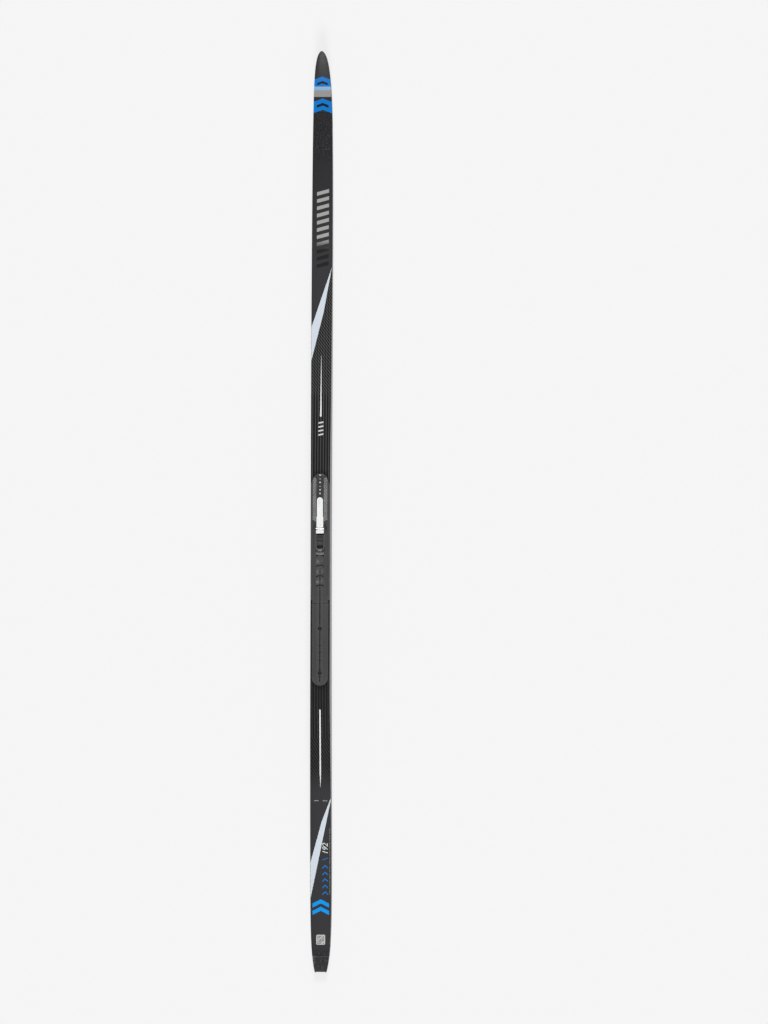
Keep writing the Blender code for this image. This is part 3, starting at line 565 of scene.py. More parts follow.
def moulded_ground(f, rgb, speckle, wear, worn):
    """A fine spark-eroded texture and paler, rubbed patches: (the texture, the colour)."""
    texture = f.grain(speckle, detail=3.0)
    rubbed = f.step(f.grain(85, detail=6.0), 0.56, 0.78)
    ground = f.mix(texture, tone(rgb, 0.82), tone(rgb, 1.18))
    return texture, f.mix(f.math("MULTIPLY", rubbed, wear), ground, tone(rgb, worn))


def moulded_finish(name, rgb, roughness, speckle=2600, depth=0.00003):
    f = Finish(name, roughness)
    texture, ground = moulded_ground(f, rgb, speckle, 0.35, 1.6)
    f.paint(ground)
    f.vary_roughness(f.grain(240), roughness - 0.08, roughness + 0.10)
    return f.bump(texture, depth, 0.7).material


def plate_finish():
    """Moulded plastic, with painted shade: black on the floors of the grooves in the guide rail."""
    f = Finish("plate_moulding", 0.50)
    texture, ground = moulded_ground(f, colours().plate, 2600, 0.30, 1.5)
    from_middle = f.math("ABSOLUTE", f.x)
    slot_half, rail_half = 0.00115, 0.0078
    near_slot = f.step(f.z, DECK + 0.0060, DECK + 0.0062)
    in_slot = f.both(near_slot, f.math("LESS_THAN", from_middle, slot_half))
    near_step = f.step(f.z, DECK + 0.0080, DECK + 0.0081)
    in_step = f.both(near_step, f.math("LESS_THAN", from_middle, rail_half))
    below_top = f.before(f.z, DECK + 0.0088, DECK + 0.0092)
    behind_bar = f.math("LESS_THAN", f.y, -0.0892)
    # Painted shade: the groove floors behind the toe bar are painted near black, where shade falls in
    # the grooves.
    painted_groove_shade = f.both(f.math("MAXIMUM", in_slot, in_step), below_top, behind_bar)
    f.paint(f.mix(painted_groove_shade, ground, (0.004, 0.004, 0.004)))
    f.vary_roughness(f.grain(240), 0.42, 0.60)
    return f.bump(texture, 0.00003, 0.7).material


def smoked_finish(name, rgb, roughness):
    f = Finish(name, roughness, coat=0.4)
    mottled(f, rgb, f.grain(60, detail=6.0), 0.85, 1.2)
    f.vary_roughness(f.grain(900, (1, 0.3, 1)), roughness - 0.06, roughness + 0.08)
    return f.bump(f.grain(1800), 0.00001, 0.5).material


def lever_finish():
    f = Finish("white_lever", 0.34, coat=0.25)
    f.shader.inputs["Subsurface Weight"].default_value = 0.08
    f.shader.inputs["Subsurface Scale"].default_value = 0.001
    dirt = f.step(f.grain(180, detail=8.0), 0.62, 0.80)
    f.paint(f.mix(f.math("MULTIPLY", dirt, 0.12), colours().lever, (0.42, 0.41, 0.38)))
    f.vary_roughness(f.grain(600), 0.28, 0.44)
    return f.bump(f.grain(2200), 0.000012, 0.5).material


def steel_finish(name, rgb, stretch, roughness):
    f = Finish(name, roughness, metallic=1.0)
    brushed = f.grain(3200, stretch, 5.0)
    mottled(f, rgb, brushed, 0.82, 1.08)
    f.vary_roughness(brushed, roughness - 0.08, roughness + 0.14)
    return f.bump(brushed, 0.00001, 0.6).material


def rubber_finish():
    f = Finish("black_rubber", 0.78)
    speckle = f.grain(1900, detail=6.0)
    mottled(f, (0.036, 0.036, 0.037), speckle, 0.7, 1.5)
    return f.bump(speckle, 0.00005, 0.8).material


def screw_finish(name):
    """Blackened screw, rubbed paler on the rim of its head, with painted shade for its socket: a dark
    disc in the middle of the head.
    """
    low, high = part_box(name)
    f = Finish(name + "_oxide", 0.45, metallic=0.2)
    across = f.math("POWER", f.math("SUBTRACT", f.x, (low.x + high.x) / 2), 2.0)
    along = f.math("POWER", f.math("SUBTRACT", f.y, (low.y + high.y) / 2), 2.0)
    rim = f.step(f.math("SQRT", f.math("ADD", across, along)), 0.0012, 0.0018)
    worn = f.step(f.grain(1200, detail=8.0), 0.50, 0.72)
    head = f.mix(f.math("MULTIPLY", worn, 0.5), (0.080, 0.080, 0.082), (0.140, 0.140, 0.140))
    # Painted shade: the dark disc inside the rim stands for the shade in the socket.
    f.paint(f.mix(rim, (0.022, 0.022, 0.022), head))
    return f.bump(f.grain(2500), 0.00001, 0.6).material


def wood_finish():
    f = Finish("core_wood", 0.75)
    rings = f.grain(160, (1, 0.02, 1), 8.0)
    f.paint(f.mix(f.step(rings, 0.35, 0.65), (0.52, 0.38, 0.20), (0.80, 0.66, 0.42)))
    return f.bump(rings, 0.0001, 0.6).material


def laminate_finish():
    """A weave of crossing fibre bundles."""
    f = Finish("fibre_laminate", 0.36, coat=0.4)
    checks = f.add("TexChecker", f.place).node
    checks.inputs["Scale"].default_value = 900
    checks.inputs["Color1"].default_value = (0.020, 0.020, 0.021, 1)
    checks.inputs["Color2"].default_value = (0.052, 0.052, 0.050, 1)
    f.paint(f.mix(f.math("MULTIPLY", f.grain(4000), 0.4), checks.outputs[0], (0.03, 0.03, 0.03)))
    return f.bump(checks.outputs[1], 0.00003, 0.5).material


# The ski body


def shape_ring(obj, rings, y, moves):
    """Moves and widens one ring's lower and upper points to their place on the ski's lines."""
    for keep_low, height, width in moves:
        bpy.ops.mesh.select_all(action="DESELECT")
        mesh = bmesh.from_edit_mesh(obj.data)
        mesh.verts.ensure_lookup_table()
        for index, low in rings[y]:
            if low == keep_low:
                mesh.verts[index].select_set(True)
        bmesh.update_edit_mesh(obj.data)
        bpy.ops.transform.resize(value=(width, 1, 1), center_override=(0, y, 0))
        bpy.ops.transform.translate(value=(0, 0, height))


def shaped_blank():
    """The whole ski as one closed body: a bar sliced into rings, each taken to its width and height."""
    s = sizes()
    half = line_at(WIDTH_LINE, 0)
    thick = 0.02
    blank = add_box("ski_blank", (-half, TAIL_Y, 0), (half, TIP_Y, thick))
    middle, reach = (TIP_Y + TAIL_Y) / 2, (TIP_Y - TAIL_Y) / 2
    places = [middle - reach * math.cos(math.pi * i / s.rings) for i in range(1, s.rings)]
    with editing(blank):
        slice_at(1, places)
        slice_at(0, (-s.groove_half, -s.groove_half * 0.65, s.groove_half * 0.65, s.groove_half))
        bpy.ops.mesh.select_mode(type="VERT")
        rings = {}
        for vertex in bmesh.from_edit_mesh(blank.data).verts:
            place = min((TAIL_Y, *places, TIP_Y), key=lambda y: abs(y - vertex.co.y))
            rings.setdefault(place, []).append((vertex.index, vertex.co.z < thick / 2))
        for y in rings:
            low, high = line_at(BASE_LINE, y), line_at(TOP_LINE, y)
            width = line_at(WIDTH_LINE, y)
            top_width = max(width - s.lean * (high - low), 0.001)
            under, over = (True, low, width / half), (False, high - thick, top_width / half)
            shape_ring(blank, rings, y, (under, over))
        press_groove(blank, places)
    return blank


def press_groove(blank, places):
    """Lifts the floor of the guide groove, fading out towards both ends of the running length."""
    s = sizes()
    fade, front, rear = 0.100, 0.785, -0.865
    for y in places:
        depth = s.groove_depth * smooth_step((front - y) / fade) * smooth_step((y - rear) / fade)
        if depth > 0:
            floor = line_at(BASE_LINE, y) + 0.004
            choose(
                blank,
                lambda p: abs(p.y - y) < 1e-5 and abs(p.x) < s.groove_half * 0.8 and p.z < floor,
            )
            bpy.ops.transform.translate(value=(0, 0, depth))


def keep_faces(obj, test):
    """In edit mode, deletes every face that fails the test."""
    choose(obj, lambda middle, normal: not test(middle, normal), "FACE")
    bpy.ops.mesh.delete(type="FACE")


def make_film(blank):
    film = copy_of(blank, "top_film")
    with editing(film):
        keep_faces(film, lambda middle, normal: normal.z > 0.5)
        trim((0, CAP_Y + LAYER_GAP, 0), (0, -1, 0))
    apply(film, "SOLIDIFY", thickness=sizes().film, offset=-1, use_even_offset=True)
    round_edges(film, sizes().film * 0.4, 2, 60)
    return done(film, film_finish(), ["topsheet"])


def make_base(blank):
    base = copy_of(blank, "running_base")
    with editing(base):
        keep_faces(base, lambda middle, normal: normal.z < -0.5)
        trim((0, CAP_Y + LAYER_GAP, 0), (0, -1, 0))
    apply(base, "SOLIDIFY", thickness=sizes().base, offset=-1, use_even_offset=True)
    return done(base, graphite_finish(), ["base_sheet"], degrees=20)


def make_sidewall(blank, side, name, material):
    """A strip from the blank's side, clear of base and film, thickened inwards."""
    s = sizes()
    wall = copy_of(blank, name + "_strip")
    with editing(wall):
        keep_faces(wall, lambda middle, normal: normal.x * side > 0.8)
        trim((0, CORE_REAR_Y, 0), (0, -1, 0))
        trim((0, CORE_FRONT_Y, 0), (0, 1, 0))
        near = 0.0015
        choose(wall, lambda p: p.z < line_at(BASE_LINE, p.y) + near)
        bpy.ops.transform.translate(value=(0, 0, s.base + LAYER_GAP))
        choose(wall, lambda p: p.z > line_at(TOP_LINE, p.y) - near)
        bpy.ops.transform.translate(value=(0, 0, -s.film - LAYER_GAP))
    apply(wall, "SOLIDIFY", thickness=s.sidewall, offset=-1)
    round_edges(wall, 0.0002, 1, 60)
    return done(wall, material, [name])


def make_spacer(blank, name, rear, front, material):
    """A length of the blank between base and film, at the tip or in front of the tail."""
    s = sizes()
    spacer = copy_of(blank, name + "_block")
    with editing(spacer):
        trim((0, rear, 0), (0, -1, 0), True)
        trim((0, front, 0), (0, 1, 0), True)
        choose(spacer, lambda middle, normal: normal.z < -0.5, "FACE")
        bpy.ops.transform.translate(value=(0, 0, s.base + LAYER_GAP))
        choose(spacer, lambda middle, normal: normal.z > 0.5, "FACE")
        bpy.ops.transform.translate(value=(0, 0, -s.film - LAYER_GAP))
    return done(spacer, material, [name])


def make_tail_cap(blank, material):
    """The moulded cap on the tail, with rounded edges and two small corner horns."""
    cap = copy_of(blank, "tail_cap")
    with editing(cap):
        trim((0, CAP_Y, 0), (0, 1, 0), True)
        trim((0, TAIL_Y + 0.0016, 0), (0, -1, 0), True)
        bpy.ops.mesh.select_all(action="SELECT")
        bpy.ops.mesh.dissolve_limited(angle_limit=math.radians(0.2))
    round_edges(cap, 0.0009, 3, 40)
    horns = []
    width = line_at(WIDTH_LINE, TAIL_Y)
    low, high = line_at(BASE_LINE, TAIL_Y), line_at(TOP_LINE, TAIL_Y)
    for side in (-1, 1):
        x = side * (width - 0.0014)
        horn = add_box(
            "horn", (x - 0.0013, TAIL_Y, low + 0.0010), (x + 0.0013, TAIL_Y + 0.006, high - 0.0012)
        )
        with editing(horn):
            choose(horn, lambda p: p.y < TAIL_Y + 0.001)
            middle = (x, TAIL_Y, (low + high) / 2)
            bpy.ops.transform.resize(value=(0.45, 1, 0.6), center_override=middle)
        round_edges(horn, 0.0004, 2)
        horns.append(horn)
    for horn in horns:
        combine(cap, horn, "UNION")
    return done(cap, material, ["tail_protector"])


# Print


def print_skin(film, layers):
    """A thin closed skin lying on the film, as thick as so many layers of print."""
    skin = copy_of(film, f"print_skin_{layers}")
    with editing(skin):
        keep_faces(skin, lambda middle, normal: normal.z > 0.7)
    apply(skin, "SOLIDIFY", thickness=sizes().print_depth * layers, offset=1)
    return skin


def lay_down(obj, skin):
    """Makes a flat sheet a deep block and keeps just the part of it that lies in the print skin."""
    only(obj)
    apply(obj, "SOLIDIFY", thickness=0.2, offset=0)
    face_outwards(obj)
    apply(obj, "BOOLEAN", operation="INTERSECT", object=skin, solver="EXACT", use_self=True)
    return obj


def wedge(name, corners):
    """A long sliver: a sheet trimmed along each side of an outline given anticlockwise."""
    xs, ys = [x for x, _ in corners], [y for _, y in corners]
    obj = add_sheet(name, (min(xs), min(ys)), (max(xs), max(ys)))
    with editing(obj):
        for (x0, y0), (x1, y1) in zip(corners, corners[1:] + corners[:1]):
            trim((x0, y0, 0), (y1 - y0, x0 - x1, 0))
    return obj


def slanted_bar(name, low, high, slant):
    """A rectangle whose right-hand side is pushed forward by slant."""
    obj = add_sheet(name, low, high)
    middle = (low[0] + high[0]) / 2
    with editing(obj):
        choose(obj, lambda p: p.x > middle)
        bpy.ops.transform.translate(value=(0, slant, 0))
    return obj


def chevron(name, half_width, rear_y, height, drop):
    """An arrowhead pointing to the tip: one slanted bar and its mirror image."""
    obj = slanted_bar(name, (0, rear_y), (half_width, rear_y + height), -drop)
    apply(obj, "MIRROR", use_axis=(True, False, False), use_clip=True, merge_threshold=1e-5)
    return obj


def printed(obj, skin, ink):
    return done(lay_down(obj, skin), ink)


def make_wedges(skin):
    ink = ink_finish("ice_ink", colours().ice)
    front = wedge("front_wedge", [
        (0.0206, 0.5102), (-0.0208, 0.3860), (-0.0204, 0.3155), (-0.0062, 0.3738), (0.0046, 0.4196),
    ])
    rear = wedge("rear_wedge", [
        (0.0212, -0.5960), (0.0019, -0.6460), (-0.0214, -0.7305),
        (-0.0208, -0.8048), (-0.0012, -0.7100), (0.0114, -0.6460),
    ])
    for obj in (front, rear):
        printed(obj, skin, ink)


def make_centre_lines(skin):
    """Two white centre lines that run out to a point, away from the binding, and a dashed seam."""
    ink = ink_finish("white_ink", colours().white)
    for name, rear, front, half, sharp_front in (
        ("front_centre_line", 0.1990, 0.3260, 0.00175, True),
        ("rear_centre_line", -0.5735, -0.4110, 0.00150, False),
    ):
        line = add_sheet(name, (-half, rear), (half, front))
        point_y = front if sharp_front else rear
        with editing(line):
            if not sharp_front:
                slice_at(1, (rear + 0.030,))
            choose(line, lambda p: abs(p.y - point_y) < 1e-4)
            bpy.ops.transform.resize(value=(0.12, 1, 1), center_override=(0, point_y, 0))
        printed(line, skin, ink)
    dashes = [add_sheet("dash", (x, -0.6022), (x + 0.0092, -0.6004)) for x in (-0.0132, 0.0047)]
    printed(joined(dashes, "seam_dashes"), skin, ink_finish("grey_ink", colours().band))


def make_tip_mark(skin, top_skin):
    """Blue chevrons, black ones set between them, and a grey band with a pale edge."""
    c = colours()
    blue = ink_finish("blue_ink", c.blue)
    black = ink_finish("black_ink", (0.006, 0.006, 0.007), 0.45)
    rows = (("tip_chevron_front", 0.8890, 0.0185, 0.0190), ("tip_chevron_rear", 0.8385, 0.0235, 0.0200))
    for name, rear, height, half in rows:
        printed(chevron(name, half, rear, height, 0.0070), skin, blue)
    shadows = [
        chevron("shadow", 0.0112, 0.8935, 0.0048, 0.0042),
        chevron("shadow", 0.0124, 0.8475, 0.0055, 0.0046),
    ]
    printed(joined(shadows, "tip_black_chevrons"), top_skin, black)
    band = add_sheet("tip_band", (-0.0190, 0.8655), (0.0190, 0.8870))
    f = Finish("band_ink", 0.36)
    pale = f.step(f.y, 0.8775, 0.8815)
    f.paint(f.mix(pale, f.mix(f.grain(500), tone(c.band, 0.9), tone(c.band, 1.1)), (0.25, 0.45, 0.70)))
    f.bump(f.grain(2500), 0.000008, 0.5)
    printed(band, top_skin, f.material)


def make_bars(skin):
    """A row of slanted speed bars that fades from pale to black towards the binding."""
    front, rear, count = 0.6745, 0.5085, 11
    pitch = (front - rear) / count
    bars = []
    for i in range(count):
        start = rear + pitch * i
        bars.append(slanted_bar("bar", (-0.0112, start), (0.0138, start + pitch * 0.50), pitch * 0.45))
    ink = fading_ink("fading_ink", (0.40, 0.40, 0.385), (0.003, 0.003, 0.003), 0.575, 0.545)
    printed(joined(bars, "speed_bars"), skin, ink)


def make_small_marks(skin):
    """White blocks in front of the binding; blue arrowheads and a row of grey ticks behind it."""
    c = colours()
    blocks = []
    for i in range(4):
        y = 0.1590 + 0.0083 * i
        blocks.append(slanted_bar("block", (-0.0048, y), (0.0056, y + 0.0030), 0.0022))
    printed(joined(blocks, "white_blocks"), skin, ink_finish("block_ink", tone(c.white, 0.85)))
    heads = []
    for i in range(5):
        y = -0.7985 + 0.0137 * i
        left = slanted_bar("head", (0.0034, y), (0.0093, y + 0.0028), 0.0056)
        right = slanted_bar("head", (0.0093, y + 0.0056), (0.0152, y + 0.0084), -0.0056)
        heads += [left, right]
    heads.append(slanted_bar("slash", (0.0030, -0.7262), (0.0150, -0.7246), 0.0044))
    printed(joined(heads, "blue_arrowheads"), skin, ink_finish("small_blue_ink", c.blue))
    ticks, y, i = [], -0.7970, 0
    while y < -0.6600:
        span = 0.0012 + 0.0007 * (i * 7 % 5)
        ticks.append(add_sheet("tick", (0.0181, y), (0.0195, y + span)))
        y += span + 0.0010 + 0.0016 * (i % 4 == 3)
        i += 1
    printed(joined(ticks, "edge_ticks"), skin, ink_finish("tick_ink", (0.20, 0.20, 0.20)))


def make_size_mark(skin):
    """The ski's length in centimetres, read from the right-hand side."""
    bpy.ops.object.select_all(action="DESELECT")
    bpy.ops.object.text_add(location=(0.0146, -0.7140, 0.05), rotation=(0, 0, math.pi / 2))
    text = bpy.context.object
    text.data.body = f"{round((TIP_Y - TAIL_Y) * 100)}"
    text.data.size = 0.0160
    text.data.shear = 0.25
    bpy.ops.object.convert(target="MESH")
    bpy.ops.object.transform_apply(location=True, rotation=True, scale=True)
    text.name = text.data.name = "size_mark"
    printed(text, skin, ink_finish("size_ink", colours().white))


def make_tail_emblem(skin):
    """Two bright blue chevrons, one over the other."""
    ink = ink_finish("emblem_ink", colours().bright_blue)
    rows = [chevron("row", 0.0172, -0.8310 + 0.0155 * i, 0.0085, 0.0088) for i in range(2)]
    printed(joined(rows, "tail_emblem"), skin, ink)


def make_tail_label(skin, top_skin):
    """A round-cornered pale label with rows of plain blocks."""
    half_x, half_y, middle = 0.0093, 0.0104, -0.8913
    label = add_sheet("tail_label", (-half_x, middle - half_y), (half_x, middle + half_y))
    with editing(label):
        bpy.ops.mesh.select_all(action="SELECT")
        bpy.ops.mesh.bevel(offset=0.0022, segments=5, affect="VERTICES")
    printed(label, skin, ink_finish("label_ink", colours().label, 0.5))
    blocks = []
    for row in range(6):
        for column in range(5):
            if (row * 3 + column * 2) % 5 != 1:
                x, y = -0.0070 + 0.0029 * column, middle - 0.0083 + 0.0029 * row
                blocks.append(add_sheet("block", (x, y), (x + 0.0021, y + 0.0017)))
    block_ink = ink_finish("label_block_ink", (0.11, 0.11, 0.105), 0.5)
    printed(joined(blocks, "label_blocks"), top_skin, block_ink)


# The binding


def add_ridges(name, places, rear, front, low, high, width=0.0007):
    """Thin ribs along the ski, rounded along their tops."""
    ridges = []
    for x in places:
        ridge = add_box(name, (x - width / 2, rear, low), (x + width / 2, front, high))
        round_edges(ridge, width * 0.3, 2)
        ridges.append(ridge)
    return ridges


def bowed_step(y, height):
    """A groove's form across the guide rail, bowed towards the tip: the front of a thin ring."""
    reach, half, sides = 0.0128, 0.0008, 64
    floor, middle = DECK + RAIL_STEP, y - reach
    step = add_cylinder("step", reach + half, (0, middle, floor), (0, middle, height + 0.01), sides)
    core = add_cylinder("core", reach - half, (0, middle, DECK), (0, middle, height + 0.02), sides)
    combine(step, core)
    with editing(step):
        trim((0, y - 0.0060, 0), (0, -1, 0), True)
    return step


def make_toe_plate(material):
    """The front plate: the solid with rounded edges, side notches, long ridges and a chequered grip."""
    plate = whole_copy("toe_plate", "front_plate")
    low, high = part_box("toe_plate")
    top = DECK + PLATE_TOP
    for side in (-1, 1):
        notch = add_box("notch", (side * 0.0192 - 0.003, low.y - 0.001, low.z - 0.001),
                        (side * 0.0192 + 0.003, low.y + 0.0075, top + 0.001))
        round_edges(notch, 0.0008, 3)
        combine(plate, notch)
        lane = add_box("lane", (side * 0.0147 - 0.0010, low.y + 0.016, top - 0.0007),
                       (side * 0.0147 + 0.0010, -0.036, top + 0.001))
        round_edges(lane, 0.0005, 2)
        combine(plate, lane)
    round_edges(plate, sizes().moulded_round, 2, 50)
    for y in (-0.1104, -0.1322, -0.1520):
        combine(plate, bowed_step(y, high.z))
    lanes = (-0.0179, -0.0118, 0.0118, 0.0179)
    ridges = add_ridges("ridge", lanes, low.y + 0.012, -0.1000, top - SINK, top + 0.0005)
    pads = []
    for side in (-1, 1):
        for i in range(14):
            y = -0.1780 + 0.0052 * i
            x, half = side * 0.0166, 0.0008
            pad = add_box("pad", (x - half, y, top - SINK), (x + half, y + 0.0022, top + 0.0004))
            round_edges(pad, 0.0002, 1)
            pads.append(pad)
    whole = joined([plate, *ridges, *pads], "front_plate")
    return done(whole, material, ["toe_plate"])


def make_heel_plate(material):
    """The rear plate: rounded edges, long ridges, and cross ribs under the heel."""
    plate = whole_copy("heel_plate", "rear_plate")
    low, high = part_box("heel_plate")
    top = DECK + PLATE_TOP
    for y in (-0.2773, -0.2917, -0.3093, -0.3279, -0.3430):
        tick = add_box(
            "tick", (-0.0044, y - 0.0006, high.z - 0.0010), (0.0044, y + 0.0006, high.z + 0.001)
        )
        combine(plate, tick)
    round_edges(plate, sizes().moulded_round, 2, 50)
    lanes = (-0.0148, -0.0120, 0.0120, 0.0148)
    extras = add_ridges("ridge", lanes, low.y + 0.018, high.y - 0.003, top - SINK, top + 0.0005)
    for i in range(9):
        y = -0.2690 - 0.0078 * i
        for side in (-1, 1):
            x, half = side * 0.0100, 0.0014
            rib = add_box("rib", (x - half, y, top - SINK), (x + half, y + 0.0016, top + 0.0006))
            round_edges(rib, 0.0002, 1)
            extras.append(rib)
    return done(joined([plate, *extras], "rear_plate"), material, ["heel_plate"])


def cover_body():
    """The housing's outer form: a block with a round nose and shoulders, sloped down to the front."""
    low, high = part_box("housing_cover")
    body = add_box("cover_body", low, high)
    slope_start, drop = low.y + (high.y - low.y) * 0.42, 0.0046
    nose_radius = high.x * 0.96
    with editing(body):
        choose(body, lambda a, b: abs(a.z - b.z) > 0.004 and a.y > high.y - 0.001, "EDGE")
        bpy.ops.mesh.bevel(offset=nose_radius, segments=14, affect="EDGES")
        slice_at(1, [slope_start + (high.y - slope_start) * i / 12 for i in range(0, 12)])
        slice_at(0, (0.0,))
        verts = bmesh.from_edit_mesh(body.data).verts
        tops = sorted({round(v.co.y, 5) for v in verts if v.co.y > slope_start})
        for y in tops:
            share = (y - slope_start) / (high.y - slope_start)
            choose(body, lambda p: abs(p.y - y) < 2e-5 and p.z > high.z - 0.0005)
            bpy.ops.transform.translate(value=(0, 0, -drop * smooth_step(share) - 0.0006 * share**4))
        choose(body, lambda middle, normal: normal.z > 0.8, "FACE")
        bpy.ops.mesh.region_to_loop()
        mesh = bmesh.from_edit_mesh(body.data)
        for edge in mesh.edges:
            if edge.select and max(v.co.y for v in edge.verts) < low.y + 1e-4:
                edge.select_set(False)
        bmesh.update_edit_mesh(body.data)
        bpy.ops.mesh.bevel(offset=0.0040, segments=5, affect="EDGES", clamp_overlap=True)
    face_outwards(body)
    return body


def lever_slot(cover_top):
    """The slot that the lever lies in, round in front and wider where the lever has shoulders."""
    lever_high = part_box("release_lever")[1]
    half, half_rear, step_y = 0.00625 + 0.0005, 0.0071 + 0.0005, -0.0090
    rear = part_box("housing_cover")[0].y - 0.002
    slot = add_box(
        "slot", (-half, rear, DECK + 0.0062), (half, lever_high.y + 0.0005, cover_top + 0.01)
    )
    with editing(slot):
        choose(slot, lambda a, b: abs(a.z - b.z) > 0.004 and a.y > lever_high.y - 0.001, "EDGE")
        bpy.ops.mesh.bevel(offset=half * 0.98, segments=12, affect="EDGES")
        slice_at(1, (step_y, step_y + 0.0012))
        choose(slot, lambda p: p.y < step_y + 0.0001)
        bpy.ops.transform.resize(value=(half_rear / half, 1, 1), center_override=(0, step_y, 0))
    return slot


def make_cover():
    """The smoked cover: hollow, slotted for the lever, with slanted ribs down both flanks."""
    s = sizes()
    low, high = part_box("housing_cover")
    body = cover_body()
    skin = copy_of(body, "rib_skin")
    apply(skin, "DISPLACE", strength=0.00028, mid_level=0.0)
    inside = copy_of(body, "inside")
    with editing(inside):
        bpy.ops.mesh.select_all(action="SELECT")
        width, depth = high.x, high.y - low.y
        wall = s.cover_wall
        centre = (0, (low.y + high.y) / 2, low.z)
        scale = ((width - wall) / width, (depth + wall) / depth, 1 - wall / (high.z - low.z))
        bpy.ops.transform.resize(value=scale, center_override=centre)
        bpy.ops.transform.translate(value=(0, -wall * 1.6, -0.0003))
    combine(body, inside)
    combine(body, lever_slot(high.z))
    round_edges(body, 0.00025, 2, 50, clamp=False)
    ribs = []
    for side in (-1, 1):
        inner, outer = side * 0.0079, side * 0.0160
        rib = add_box("rib", (min(inner, outer), low.y + 0.010, low.z + 0.0012),
                      (max(inner, outer), low.y + 0.0113, high.z + 0.002))
        with editing(rib):
            choose(rib, lambda p: abs(p.x) > 0.013)
            bpy.ops.transform.translate(value=(0, 0.0045, 0))
        count = int((high.y - 0.006 - low.y - 0.010) / s.rib_pitch)
        apply(rib, "ARRAY", count=count, use_relative_offset=False, use_constant_offset=True,
              constant_offset_displace=(0, s.rib_pitch, 0))
        apply(rib, "BOOLEAN", operation="INTERSECT", object=skin, solver="EXACT")
        ribs.append(rib)
    remove(skin)
    smoked = smoked_finish("smoked_cover", colours().smoke, 0.26)
    done(body, smoked, ["housing_cover"])
    body.name = body.data.name = "housing_shell"
    # Painted highlight: the ribs are the cover's smoked plastic painted far paler, for the light that
    # catches them.
    highlight_flutes = smoked_finish("flutes_painted_highlight", (0.36, 0.36, 0.365), 0.24)
    done(joined(ribs, "cover_flutes"), highlight_flutes)
    make_cover_marks(body)


def make_cover_marks(cover):
    """Six small pale arrowheads down the middle of the cover's slope, every other one smaller."""
    marks = []
    for i in range(6):
        y, size = 0.0375 + 0.0077 * i, (0.0015, 0.0015, 0.0009, 0.0015, 0.0009, 0.0014)[i]
        marks.append(wedge("mark", [(-size, y), (size, y), (0.0, y + 1.8 * size)]))
    skin = print_skin(cover, 1)
    obj = lay_down(joined(marks, "cover_marks"), skin)
    remove(skin)
    done(obj, ink_finish("mark_ink", (0.62, 0.62, 0.615)))


def make_lever():
    """The release lever: rounded edges, a finger pad with grip ribs and a long shallow well."""
    lever = whole_copy("release_lever", "lever_arm")
    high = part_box("release_lever")[1]
    top = AXLE.z + 0.0016
    well = add_box(
        "well", (-0.0040, AXLE.y + 0.0085, top - 0.0007), (0.0040, high.y - 0.0190, top + 0.002)
    )
    with editing(well):
        choose(well, lambda a, b: abs(a.z - b.z) > 0.001, "EDGE")
        bpy.ops.mesh.bevel(offset=0.0034, segments=6, affect="EDGES")
    combine(lever, well)
    round_edges(lever, 0.00030, 3, 50, clamp=False)
    ribs = []
    for i in range(5):
        y = high.y - 0.0055 - 0.0021 * i
        rib = add_box("rib", (-0.0040, y - 0.0005, top - 0.0003), (0.0040, y + 0.0005, top + 0.0004))
        round_edges(rib, 0.00025, 2)
        ribs.append(rib)
    done(joined([lever, *ribs], "lever_arm"), lever_finish(), ["release_lever"], "lever")


def make_jaw_and_cradle():
    # Painted light: the blackened steel is painted paler than its own tone, to lift the shade in the
    # toe-bar slot.
    steel = moulded_finish("blackened_steel_painted_paler", (0.140, 0.140, 0.142), 0.40, 3200, 0.00001)
    jaw = whole_copy("jaw_slider", "toe_bar_jaw")
    round_edges(jaw, 0.00025, 3, 50)
    done(jaw, steel, ["jaw_slider"], "jaw")
    cradle = whole_copy("toe_bar_cradle", "bar_cradle")
    round_edges(cradle, 0.0003, 3, 50)
    done(cradle, steel, ["toe_bar_cradle"])


def make_spring():
    """The jaw's coil spring."""
    coil = whole_copy("jaw_spring", "coil_spring")
    wire = steel_finish("spring_wire", (0.45, 0.45, 0.46), (1, 0.2, 1), 0.34)
    done(coil, wire, ["jaw_spring"], degrees=60)
    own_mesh(coil)


def make_flexor():
    rubber = whole_copy("flexor", "rubber_flexor")
    low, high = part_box("flexor")
    round_edges(rubber, 0.0004, 3, 50)
    nubs = []
    for side in (-1, 1):
        for i in range(4):
            y = low.y + 0.0072 + 0.0030 * i
            x = side * 0.0042
            nub = add_cylinder("nub", 0.0006, (x, y, high.z - 0.0006), (x, y, high.z + 0.0003), 12)
            round_edges(nub, 0.0002, 2)
            nubs.append(nub)
    done(joined([rubber, *nubs], "rubber_flexor"), rubber_finish(), ["flexor"])


# Operators


class SKI_OT_body(bpy.types.Operator):
    """Shape the ski and take its film, base, sidewalls, spacers and tail cap from it"""

    bl_idname = "ski.body"
    bl_label = "Ski body"

    def execute(self, context):
        blank = shaped_blank()
        black = moulded_finish("black_moulding", (0.014, 0.014, 0.015), 0.46)
        make_film(blank)
        make_base(blank)
        silver = sidewall_finish()
        make_sidewall(blank, -1, "sidewall_left", silver)
        make_sidewall(blank, 1, "sidewall_right", silver)
        make_spacer(blank, "tip_spacer", CORE_FRONT_Y + LAYER_GAP, TIP_Y - 0.0004, black)
        make_spacer(blank, "tail_spacer", CAP_Y + LAYER_GAP, CORE_REAR_Y - LAYER_GAP, black)
        make_tail_cap(blank, cap_finish())
        remove(blank)
        return {"FINISHED"}


